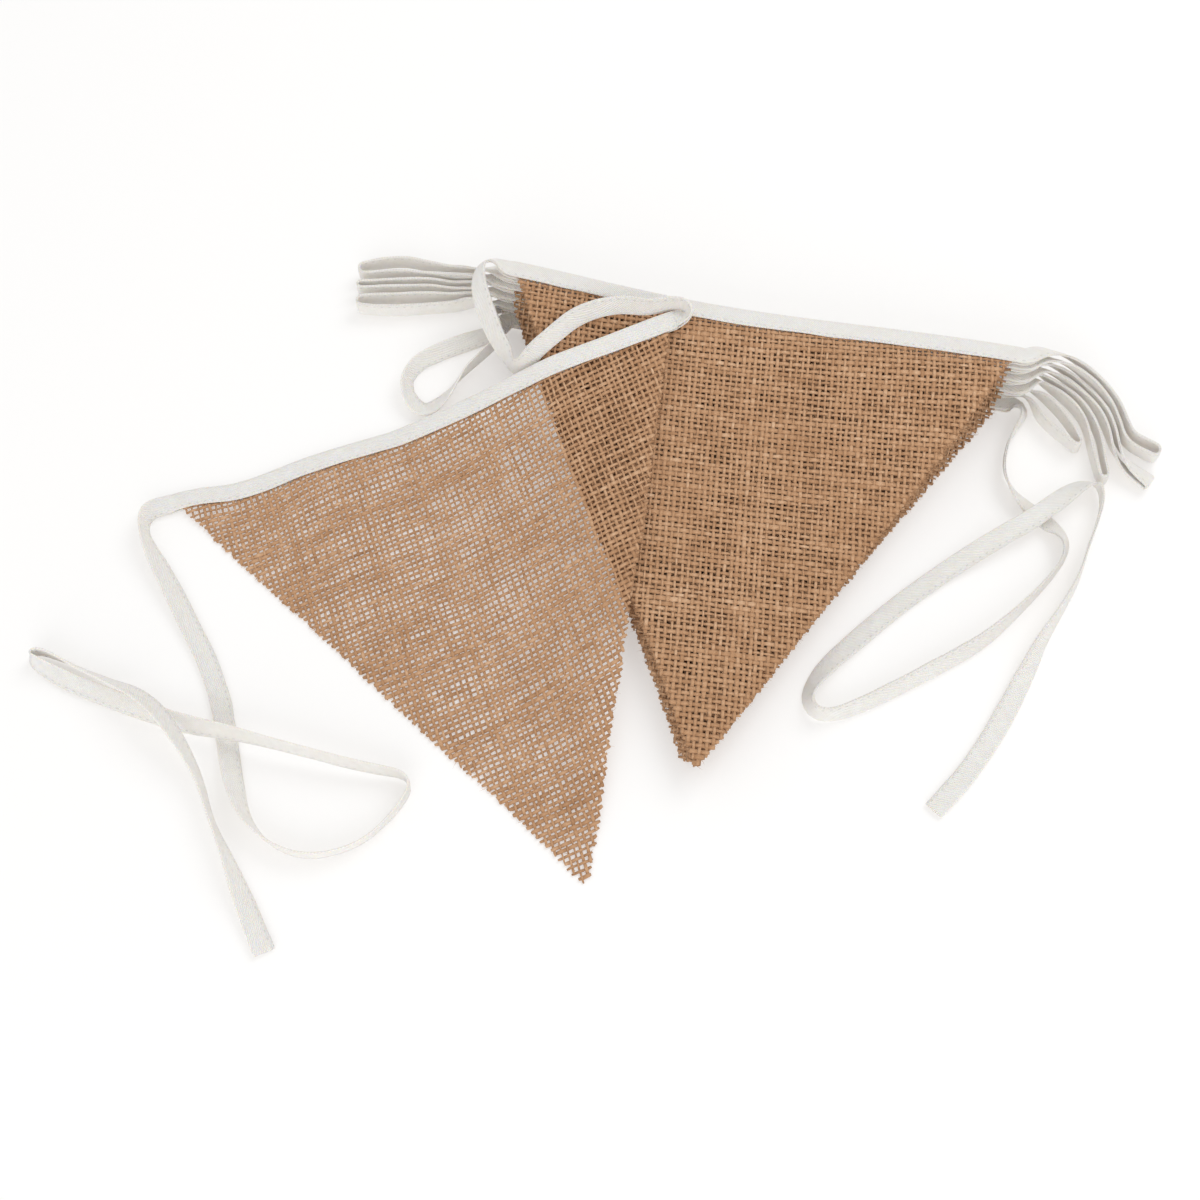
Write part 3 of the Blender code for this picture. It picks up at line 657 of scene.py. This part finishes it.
TIE_LEFT = [
    (-166.6, 38.6, 2.0, 12.0),
    (-169.8, 36.6, 3.4, 46.0),
    (-171.8, 32.4, 4.6, 78.0),
    (-170.8, 26.0, 4.4, 72.0),
    (-167.2, 18.6, 3.6, 46.0),
    (-159.7, 5.7, 2.8, 24.0),
    (-150.9, -10.1, 1.6, 10.0),
    (-142.4, -25.6, 1.2, 5.0),
    (-136.1, -41.0, 1.2, 4.0),
    (-132.0, -57.4, 1.4, 8.0),
    (-128.0, -73.0, 2.8, 34.0),
    (-122.6, -86.0, 4.2, 66.0),
    (-113.7, -95.2, 4.4, 84.0),
    (-102.4, -99.8, 4.4, 86.0),
    (-90.5, -98.8, 4.4, 82.0),
    (-79.6, -93.4, 4.4, 80.0),
    (-70.6, -83.6, 4.4, 84.0),
    (-66.2, -75.4, 4.6, 90.0),
    (-68.6, -71.0, 5.0, 90.0),
    (-78.6, -69.0, 6.0, 84.0),
    (-91.9, -66.2, 7.2, 84.0),
    (-104.7, -62.9, 8.2, 84.0),
    (-116.5, -59.8, 8.4, 80.0),
    (-128.0, -56.6, 7.8, 72.0),
    (-139.3, -53.6, 6.4, 60.0),
    (-153.1, -49.4, 4.0, 44.0),
    (-172.1, -42.2, 3.6, 42.0),
    (-190.2, -34.7, 3.6, 44.0),
    (-202.6, -28.0, 4.0, 66.0),
    (-206.6, -24.6, 4.6, 88.0),
    (-204.6, -22.6, 4.8, 90.0),
    (-198.6, -24.4, 4.8, 86.0),
    (-188.6, -29.2, 4.6, 72.0),
    (-176.6, -35.0, 6.0, 62.0),
    (-166.2, -40.6, 9.2, 46.0),
    (-156.6, -48.2, 10.6, 42.0),
    (-148.6, -58.0, 8.4, 52.0),
    (-140.6, -71.0, 4.8, 74.0),
    (-134.4, -86.0, 4.4, 84.0),
    (-127.4, -100.0, 4.2, 66.0),
    (-120.6, -114.6, 2.4, 28.0),
    (-114.6, -127.6, 1.4, 8.0),
    (-111.8, -133.4, 1.2, 4.0),
]
TIE_RIGHT = [
    (163.8, 84.4, 2.6, 26.0),
    (165.2, 80.6, 4.2, 68.0),
    (162.6, 74.8, 4.4, 86.0),
    (157.4, 66.6, 4.4, 88.0),
    (154.6, 55.6, 4.4, 84.0),
    (155.8, 46.8, 4.0, 64.0),
    (161.4, 39.2, 2.6, 30.0),
    (169.0, 31.6, 1.4, 10.0),
    (174.0, 23.6, 3.0, 52.0),
    (172.0, 14.6, 4.4, 82.0),
    (164.0, 4.4, 4.4, 84.0),
    (151.8, -8.0, 4.4, 78.0),
    (137.6, -19.6, 4.0, 62.0),
    (124.4, -27.6, 4.0, 60.0),
    (109.3, -35.8, 4.0, 60.0),
    (96.2, -42.6, 4.0, 62.0),
    (84.6, -47.4, 4.2, 70.0),
    (76.6, -47.4, 4.4, 84.0),
    (74.0, -41.0, 4.0, 62.0),
    (80.3, -30.0, 2.4, 28.0),
    (93.4, -17.1, 1.4, 6.0),
    (111.4, -1.6, 1.2, 0.0),
    (130.4, 12.2, 2.2, -6.0),
    (147.0, 22.4, 4.8, -10.0),
    (163.0, 31.6, 6.6, -12.0),
    (176.4, 41.6, 6.4, 10.0),
    (184.6, 47.0, 5.6, 50.0),
    (189.6, 46.6, 4.8, 84.0),
    (190.0, 39.6, 4.4, 88.0),
    (186.4, 29.2, 4.4, 86.0),
    (181.6, 18.3, 4.4, 84.0),
    (176.2, 6.0, 4.4, 80.0),
    (168.6, -6.4, 4.2, 74.0),
    (160.6, -18.6, 3.8, 58.0),
    (153.9, -30.4, 2.8, 34.0),
    (146.5, -43.1, 1.6, 12.0),
    (137.9, -56.6, 1.2, 4.0),
    (126.6, -71.4, 1.2, 2.0),
    (115.2, -83.3, 1.2, 0.0),
]

# %% [markdown]
# The tape between two pennants of the pile goes out along a middle line, round a hairpin, and back beside itself,
# so one table holds the middle line of the pair, how far the pair leans over, and half the space between its runs.

# %% Stations of the pile's loops
LOOPS = {  # x, y, z of the middle line, lean of the pair, half the space between the runs
    (2, 3): [
        (169.2, 93.6, 23.4, 24.0, 1.4),
        (181.2, 95.4, 16.8, 50.0, 1.4),
        (192.8, 91.2, 9.0, 74.0, 1.4),
        (200.0, 83.0, 4.8, 86.0, 1.5),
        (202.4, 73.8, 4.4, 88.0, 1.5),
        (204.4, 66.8, 4.4, 84.0, 2.0),
        (212.2, 61.4, 4.4, 82.0, 2.5),
    ],
    (4, 5): [
        (169.0, 93.2, 17.2, 28.0, 1.3),
        (179.6, 93.6, 10.6, 58.0, 1.3),
        (188.6, 88.6, 5.4, 82.0, 1.3),
        (194.8, 80.2, 4.4, 88.0, 1.3),
        (197.2, 71.4, 4.4, 88.0, 1.3),
        (198.6, 63.0, 4.2, 74.0, 1.3),
        (201.9, 55.4, 3.4, 40.0, 1.2),
        (208.9, 49.4, 2.6, 16.0, 1.0),
    ],
    (6, 7): [
        (168.4, 92.6, 11.0, 34.0, 1.3),
        (177.0, 90.6, 6.0, 74.0, 1.3),
        (183.6, 85.2, 4.4, 88.0, 1.4),
        (188.0, 78.0, 4.4, 88.0, 1.7),
        (190.2, 69.4, 4.4, 88.0, 2.0),
        (190.8, 60.2, 4.4, 88.0, 1.9),
        (191.6, 50.4, 4.4, 86.0, 1.6),
    ],
    (8, 9): [
        (166.9, 88.3, 4.7, 56.0, 1.6),
        (170.8, 85.0, 4.4, 84.0, 2.8),
        (174.6, 78.6, 4.4, 88.0, 3.8),
        (178.8, 72.0, 4.4, 88.0, 3.2),
        (183.2, 65.0, 4.4, 86.0, 1.6),
    ],
    (3, 4): [
        (-42.4, 136.0, 19.2, 24.0, 1.4),
        (-50.6, 140.8, 12.4, 56.0, 1.5),
        (-59.0, 144.6, 6.8, 80.0, 1.8),
        (-68.3, 147.2, 4.6, 88.0, 2.6),
        (-78.7, 149.3, 4.4, 88.0, 3.2),
        (-88.8, 148.8, 4.4, 88.0, 3.0),
        (-95.3, 147.6, 4.4, 88.0, 2.6),
    ],
    (5, 6): [
        (-42.4, 134.4, 13.2, 28.0, 1.3),
        (-50.4, 137.4, 7.8, 66.0, 1.3),
        (-58.8, 138.8, 4.6, 86.0, 1.4),
        (-68.1, 140.2, 4.4, 88.0, 1.6),
        (-79.0, 140.1, 4.4, 88.0, 1.6),
        (-89.1, 139.5, 4.4, 88.0, 1.5),
        (-96.6, 139.4, 4.4, 88.0, 1.5),
    ],
    (7, 8): [
        (-42.0, 132.3, 7.0, 45.3, 1.3),
        (-50.8, 132.8, 5.8, 88.3, 1.4),
        (-58.6, 132.3, 4.4, 88.0, 2.0),
        (-67.7, 132.0, 4.4, 88.0, 2.6),
        (-78.6, 131.5, 4.4, 88.0, 3.0),
        (-88.6, 131.2, 4.4, 88.0, 2.8),
        (-95.6, 131.2, 4.4, 88.0, 2.2),
    ],
}

# %% [markdown]
# A smooth line through the stations gives the middle of the tape. The height is held up where a rolled tape would
# reach into the table. Each point also gets the way the tape's face looks, and how far the fold is held open:
# 1 with cloth in it, 0 where the two layers lie on each other.

# %% From stations to a path
TAPE_GAP = 0.6  # from a pennant's corner to the start of the loose tape
LINK_THICKNESS = 1.2
LEAVING = (2.5, 3.0)  # how far on the loose tape still runs straight, and its roll there
LOOP_LEAVING = (3.0, 2.0)
TABLE_CLEARANCE = 0.1
LOOP_STEP, TIE_PATH_STEP, BOUND_STEP = 1.5, 2.0, 2.5
LOOP_FADE = 14.0  # over what length a loop's two runs come to its middle line
HAIRPIN_STEPS = 10


def curve_through(stations, step):
    """A smooth line through rows of numbers, in even steps of its length."""
    rows = [Vector(s) for s in stations]
    rows = [rows[0] * 2 - rows[1]] + rows + [rows[-1] * 2 - rows[-2]]
    line = []
    for k in range(1, len(rows) - 2):
        a, b, c, d = rows[k - 1 : k + 3]
        count = max(1, round((Vector(c[:3]) - Vector(b[:3])).length / step))
        for i in range(count):
            t = i / count
            curve = (2 * b) + (c - a) * t + (2 * a - 5 * b + 4 * c - d) * t * t + (3 * b - a - 3 * c + d) * t**3
            line.append(0.5 * curve)
    line.append(rows[-2])
    return line


def rest_height(roll):
    """Lowest height of the tape's middle line at which it stays on the table, for its roll in degrees."""
    turn = math.radians(abs(roll))
    return TAPE_WIDTH / 2 * math.sin(turn) + LINK_THICKNESS / 2 * math.cos(turn) + TABLE_CLEARANCE


def rolled_face(ahead, roll):
    """The way the face of the tape looks: up, rolled towards the left of its run."""
    left = Vector((-ahead.y, ahead.x, 0.0)).normalized()
    return Vector((0.0, 0.0, math.cos(roll))) + left * math.sin(roll)


def run_at(middles, i):
    """The direction of a line of points at one of them."""
    return middles[min(i + 1, len(middles) - 1)] - middles[max(i - 1, 0)]


def tape_frame(pennant, along):
    """Middle of the tape on a pennant's top edge, its upper face, and the way along the edge."""
    edge, below = Vector(pennant.point(along, 0.0)), Vector(pennant.point(along, FIRST_ROW))
    side = (below - edge).normalized()
    ahead = (Vector(pennant.point(along + 1.0, 0.0)) - edge).normalized()
    face = side.cross(ahead).normalized()
    return edge + side * TAPE_MIDDLE + face * (CLOTH / 2), face, ahead


def corner(number, side):
    """Where the tape leaves a pennant, and the way it runs: side is -1 at its left, 1 at its right."""
    middle, _, ahead = tape_frame(pennants[number], side * pennants[number].width / 2)
    return middle, ahead * side


def bound_path(number):
    """The tape over one pennant, from left to right."""
    pennant = pennants[number]
    count = round(pennant.width / BOUND_STEP)
    path = []
    for i in range(count + 1):
        middle, face, _ = tape_frame(pennant, (i / count - 0.5) * pennant.width)
        path.append((middle, face, 1.0))
    return path


def loose_path(start, stations, end, step):
    """Loose tape from one corner along its stations to the next corner, or to its free end."""
    rows = list(stations)
    straight, roll = LEAVING
    if start:
        p, ahead = start
        rows = [(*(p + ahead * TAPE_GAP), 0.0), (*(p + ahead * straight), roll)] + rows
    if end:
        p, ahead = end
        rows = rows + [(*(p + ahead * straight), roll), (*(p + ahead * TAPE_GAP), 0.0)]
    line = curve_through(rows, step)
    middles = [Vector((p[0], p[1], max(p[2], rest_height(p[3])))) for p in line]
    return [(p, rolled_face(run_at(middles, i), math.radians(line[i][3])), 0.0) for i, p in enumerate(middles)]


def loop_path(upper, lower, stations):
    """A loop of the pile: out from the upper corner, round a hairpin, back to the lower one."""
    (p, ahead), (q, _) = upper, lower
    start, spread = (p + q) / 2, (p.z - q.z) / 2
    straight, lean = LOOP_LEAVING
    rows = [(*(start + ahead * TAPE_GAP), 0.0, spread), (*(start + ahead * straight), lean, spread)]
    line = curve_through(rows + list(stations), LOOP_STEP)
    middles = [Vector((r[0], r[1], max(r[2], rest_height(r[3]) + r[4] * math.cos(math.radians(r[3]))))) for r in line]
    out, back = [], []
    turn = 1.0 if ahead.x < 0 else -1.0
    lift = Vector((0, 0, spread))
    for i, r in enumerate(line):
        run = run_at(middles, i)
        far = Vector((run.y, -run.x, 0.0)).normalized() * turn
        lean = math.radians(r[3])
        run.normalize()
        face = Vector((0.0, 0.0, math.cos(lean))) + far * math.sin(lean)
        face = (face - run * face.dot(run)).normalized()
        fade = 1.0 - float(ease(i * LOOP_STEP / LOOP_FADE))
        out.append((middles[i] + face * r[4] + (p - start - lift) * fade, face, 0.0))
        back.append((middles[i] - face * r[4] + (q - start + lift) * fade, -face, 0.0))
    pin = []
    for k in range(1, HAIRPIN_STEPS):
        angle = math.pi * k / HAIRPIN_STEPS
        looks = out[-1][1] * math.cos(angle) + run * math.sin(angle)
        pin.append((middles[-1] + looks * line[-1][4], looks, 0.0))
    return out + pin + back[::-1]


# %% [markdown]
# In the folded pile the cloth turns over at every fold, so the tape runs to the right over one pennant and to the
# left over the next, with its face down. The first stretch of tape goes from the left tie's free end to the ninth
# pennant, and the second from there, through the low loop at the left, to the right tie's free end.


# %% Join the stretches
def turned_over(path):
    """A stretch of tape with its face down."""
    return [(p, -face, held) for p, face, held in path]


long_path = loose_path(corner(1, -1), TIE_LEFT, None, TIE_PATH_STEP)[::-1] + bound_path(1)
long_path += loose_path(corner(1, 1), LINK_1_2, corner(2, -1), LOOP_STEP)
for number in range(2, PENNANTS):
    if number % 2 == 0:
        long_path += bound_path(number)
        long_path += loop_path(corner(number, 1), corner(number + 1, 1), LOOPS[number, number + 1])
    else:
        long_path += turned_over(bound_path(number)[::-1])
        if number < PENNANTS - 1:
            loop = loop_path(corner(number, -1), corner(number + 1, -1), LOOPS[number, number + 1])
            long_path += turned_over(loop)
last_path = loose_path(corner(9, -1), LINK_9_10, corner(10, -1), LOOP_STEP) + bound_path(10)
last_path += loose_path(corner(10, 1), TIE_RIGHT, None, TIE_PATH_STEP)


def path_length(path):
    """Length of a path in millimetres."""
    return sum((path[i + 1][0] - path[i][0]).length for i in range(len(path) - 1))


print("tape, mm and rings", [(round(path_length(path)), len(path)) for path in (long_path, last_path)])

# %% [markdown]
# ## The folded tape
# The tape is really two layers: a strip of cotton twill folded in half. Its cross-section is a flat hairpin with a
# round fold, and it is swept along the path. A small swell between the fold and the seam, and a wavering edge, keep
# it from looking like a plastic band. A bar would be quicker to make, but it would show no fold and no open edge.

# %% Section of the folded tape
TAPE_WALL = 0.36
CLOSED_GAP, OPEN_GAP = 0.05, 0.57  # half the space between the layers, closed and over a pennant
SWELL = 0.16  # how much it opens between fold and seam
SEAM_FROM_EDGE = 1.1
SEAM_AT = TAPE_WIDTH / 2 - SEAM_FROM_EDGE
OUTSIDE_AT, INSIDE_AT = (0.4, -2.2), -1.6  # points between the seam and the fold
BEND_FROM, BEND_POINT, BEND_SHARE = 0.45, 0.1, 0.55  # the bend of the fold: its start, a point and its height
BEND_INSIDE = 0.6


def half_gap(s, held):
    """Half the space between the layers at a place across the tape."""
    bulge = np.clip(1.0 - (s / SEAM_AT) ** 2, 0.0, 1.0)
    return (CLOSED_GAP + SWELL * bulge) * (1.0 - held) + OPEN_GAP * held


def section(held, edge_shift):
    """The tape's cross-section, as pairs: across from fold to open edge, and out from its middle plane."""
    fold, edge = -TAPE_WIDTH / 2, TAPE_WIDTH / 2 + edge_shift
    outer_at = np.array([edge, SEAM_AT, *OUTSIDE_AT, fold + BEND_FROM])
    inner_at = np.array([fold + BEND_INSIDE, INSIDE_AT, SEAM_AT, edge])
    outer = [(s, half_gap(s, held) + TAPE_WALL) for s in outer_at]
    bend = [(fold + BEND_POINT, BEND_SHARE * (half_gap(fold, held) + TAPE_WALL)), (fold, 0.0)]
    inner = [(s, half_gap(s, held)) for s in inner_at]
    top = outer + bend
    below = [(s, -f) for s, f in reversed(top[:-1])] + [(s, -f) for s, f in reversed(inner)]
    return np.array(top + below + inner)


# %% [markdown]
# Cloth tape doesn't kink, so its loose stretches are evened out once more. Near a pennant its layers come apart
# softly. It wavers slowly up and down, and so does its open edge, which keeps the light along it from being even.

# %% Rings of the tape
PATH_REACH, FACE_REACH = 2, 4  # over how many neighbours a loose tape's place and roll are evened out
HOLD_FADE = 7.0  # how far from a pennant the two layers come together
WAVER, WAVER_REACH = 0.07, 6
EDGE_WAVER, EDGE_REACH = 0.10, 4


def softened(rows, reach):
    """Rows of numbers, each evened out with its neighbours."""
    kernel = np.hanning(2 * reach + 3)[1:-1]
    padded = np.pad(rows, ((reach, reach), (0, 0)), mode="edge")
    return np.stack([np.convolve(column, kernel / kernel.sum(), mode="valid") for column in padded.T], axis=-1)


def sections_along(path, seed):
    """All rings of the tape, with the numbers that its material needs."""
    rng = np.random.default_rng(seed)
    count = len(path)
    middles = np.array([p for p, _, _ in path])
    faces = np.array([face for _, face, _ in path])
    held = np.array([h for _, _, h in path])
    loose = held[:, None] < 0.5
    middles = np.where(loose, softened(middles, PATH_REACH), middles)
    faces = np.where(loose, softened(faces, FACE_REACH), faces)
    ahead = unit(np.gradient(middles, axis=0))
    across = unit(np.cross(ahead, faces))
    up = np.cross(across, ahead)
    run = lengths_along(middles)
    near = np.array([np.min(np.abs(run[held > 0.5] - r)) for r in run])
    held = 1.0 - ease(near / HOLD_FADE)
    middles = middles + up * (WAVER * uneven(rng, count, WAVER_REACH))[:, None] * (1.0 - held)[:, None]
    shifts = EDGE_WAVER * uneven(rng, count, EDGE_REACH)
    rings, places = [], []
    for i in range(count):
        cut = section(held[i], shifts[i])
        rings.append(middles[i] + across[i] * cut[:, :1] + up[i] * cut[:, 1:])
        places.append(np.stack([np.full(len(cut), run[i]), cut[:, 0], np.sign(cut[:, 1] + 1e-6)], axis=-1))
    return np.array(rings), np.array(places)


# %% [markdown]
# ## The cotton material
# Unbleached cotton tape is nearly white and matt, with a fine twill that shows as slanting ribs from close by;
# painted shade lies in the grooves between the ribs and in the needle holes of the seam. The slant needs to know
# which way the tape runs, so the place along and across the tape is kept at every point.


# %% Cotton material
STITCH, SEAM_WIDTH = 3.0, 0.5  # length of a stitch and width of its row
HOLE_FROM, HOLE_SHADE, SEAM_SUNK = 0.55, -0.15, -0.6  # size and painted shade of the needle holes, depth of the row
# turn of the ribs, and the painted shade in the grooves between them, as the share of the colour left there
TWILL_TURN, TWILL_GROOVE_SHADE = math.radians(55.0), 0.93
COTTON_COLOURS = [(0.3, (0.90, 0.85, 0.79)), (0.7, (0.95, 0.91, 0.86))]


def cotton_material():
    """Nearly white tape with slanting ribs and a row of stitches, with painted shade in the grooves between the ribs
    and in the needle holes.
    """
    material, shader = new_material(
        "cotton_tape", Roughness=0.9, Specular_IOR_Level=0.2, Sheen_Weight=0.15, Sheen_Roughness=0.6,
        Subsurface_Weight=0.35, Subsurface_Radius=(1.0, 0.7, 0.4), Subsurface_Scale=0.001,
    )
    tree = material.node_tree
    place = node(tree, "ShaderNodeAttribute", attribute_name="tape_place").outputs["Vector"]
    slant = node(tree, "ShaderNodeMapping", Vector=place, Rotation=(0.0, 0.0, TWILL_TURN)).outputs["Vector"]
    wave = node(tree, "ShaderNodeTexWave", Vector=slant, Scale=0.48, Distortion=1.2, Detail=2.0, Detail_Scale=3.0)
    ribs = wave.outputs["Fac"]
    mottle = node(tree, "ShaderNodeTexNoise", Vector=place, Scale=0.35, Detail=4.0, Roughness=0.6)
    ramp = node(tree, "ShaderNodeValToRGB", Fac=mottle.outputs["Fac"])
    colour_steps(ramp, COTTON_COLOURS)
    # painted shade in the grooves between the ribs
    groove_shade = node(tree, "ShaderNodeMapRange", Value=ribs, To_Min=TWILL_GROOVE_SHADE, To_Max=1.0)
    split = node(tree, "ShaderNodeSeparateXYZ", Vector=place)
    holes = maths(tree, "SINE", maths(tree, "MULTIPLY", split.outputs["X"], 2 * math.pi / STITCH))
    off_seam = maths(tree, "ABSOLUTE", maths(tree, "SUBTRACT", split.outputs["Y"], SEAM_AT))
    on_seam = maths(tree, "LESS_THAN", off_seam, SEAM_WIDTH / 2)
    needle = maths(tree, "MULTIPLY", on_seam, maths(tree, "GREATER_THAN", holes, HOLE_FROM))
    # painted shade in the needle holes of the seam
    hole_shade = maths(tree, "MULTIPLY_ADD", needle, HOLE_SHADE, 1.0)
    shade = maths(tree, "MULTIPLY", groove_shade.outputs["Result"], hole_shade)
    tinted = node(tree, "ShaderNodeVectorMath", operation="SCALE", Vector=ramp.outputs["Color"], Scale=shade)
    sunk = maths(tree, "MULTIPLY_ADD", on_seam, SEAM_SUNK, ribs)
    bump = node(tree, "ShaderNodeBump", Height=sunk, Strength=0.6, Distance=0.0003)
    put(tree, shader.inputs["Base Color"], tinted.outputs["Vector"])
    put(tree, shader.inputs["Normal"], bump.outputs["Normal"])
    return material


cotton = cotton_material()

# %% Sweep the tape
def make_tape(name, path, nodes, seed):
    """One stretch of tape, in place of the solids that it stands for."""
    rings, places = sections_along(path, seed)
    quads, ends = tube_faces(*rings.shape[:2])
    faces = quads[:, [0, 3, 2, 1]].tolist() + ends[:, ::-1].tolist()
    piece = new_piece(name, rings.reshape(-1, 3), faces, cotton, tape_place=places.reshape(-1, 3))
    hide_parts(*nodes)
    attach(piece, "root")
    print(name, "triangles", triangle_count(piece))


long_nodes = ["tie_left"] + [f"binding_{n:02d}" for n in range(1, 10)]
long_nodes += [f"link_{n:02d}_{n + 1:02d}" for n in range(1, 9)]
make_tape("cotton_tape", long_path, long_nodes, 7)
make_tape("cotton_tape_end", last_path, ["link_09_10", "binding_10", "tie_right"], 8)

# %% [markdown]
# ## The cut of each pennant
# A pennant was cut as a triangle, so its flat area is half of its width times its drop. The loop below only looks up
# each cloth's pennant.

for number, piece in cloths.items():
    pennant = pennants[number]

# %% [markdown]
# ## Table and light
# The photograph shows a nearly white table in bright soft light. The shadows are faint and the weave's holes show
# white, so the table gives off a little light itself, like a light table. One large soft lamp stands behind and to
# the right, one in front, and white surroundings fill the rest.

# %% Stage
TABLE_HALF, TABLE_HEIGHT = 6.0, -0.0002  # half its width, and its height, in metres
table_mesh = bpy.data.meshes.new("table")
corners = [(-1, -1), (1, -1), (1, 1), (-1, 1)]
table_mesh.from_pydata([(x * TABLE_HALF, y * TABLE_HALF, TABLE_HEIGHT) for x, y in corners], [], [(0, 1, 2, 3)])
table = bpy.data.objects.new("table", table_mesh)
bpy.context.collection.objects.link(table)
table_white, _ = new_material(
    "table_white", Base_Color=(0.62, 0.62, 0.62, 1.0), Roughness=0.7,
    Emission_Color=(1.0, 0.98, 0.955, 1.0), Emission_Strength=0.36,
)
table_mesh.materials.append(table_white)
print("table", 2 * TABLE_HALF, "m wide")


# %% Lights
def soft_lamp(name, place, size, power):
    """A square lamp that looks at the origin."""
    data = bpy.data.lights.new(name, "AREA")
    data.size, data.energy = size, power
    lamp = bpy.data.objects.new(name, data)
    lamp.location = place
    lamp.rotation_euler = (-Vector(place)).to_track_quat("-Z", "Y").to_euler()
    bpy.context.collection.objects.link(lamp)
    print(name, "lamp,", power, "W")


soft_lamp("key", (0.75, 0.75, 1.15), 0.9, 6.0)
soft_lamp("front", (-0.2, -1.3, 0.6), 1.2, 7.0)
world = bpy.data.worlds.new("world")
world.use_nodes = True
surroundings = world.node_tree.nodes["Background"].inputs
surroundings["Color"].default_value = (1.0, 1.0, 1.0, 1.0)
surroundings["Strength"].default_value = 0.77
bpy.context.scene.world = world
bpy.context.scene.view_settings.view_transform = "Standard"
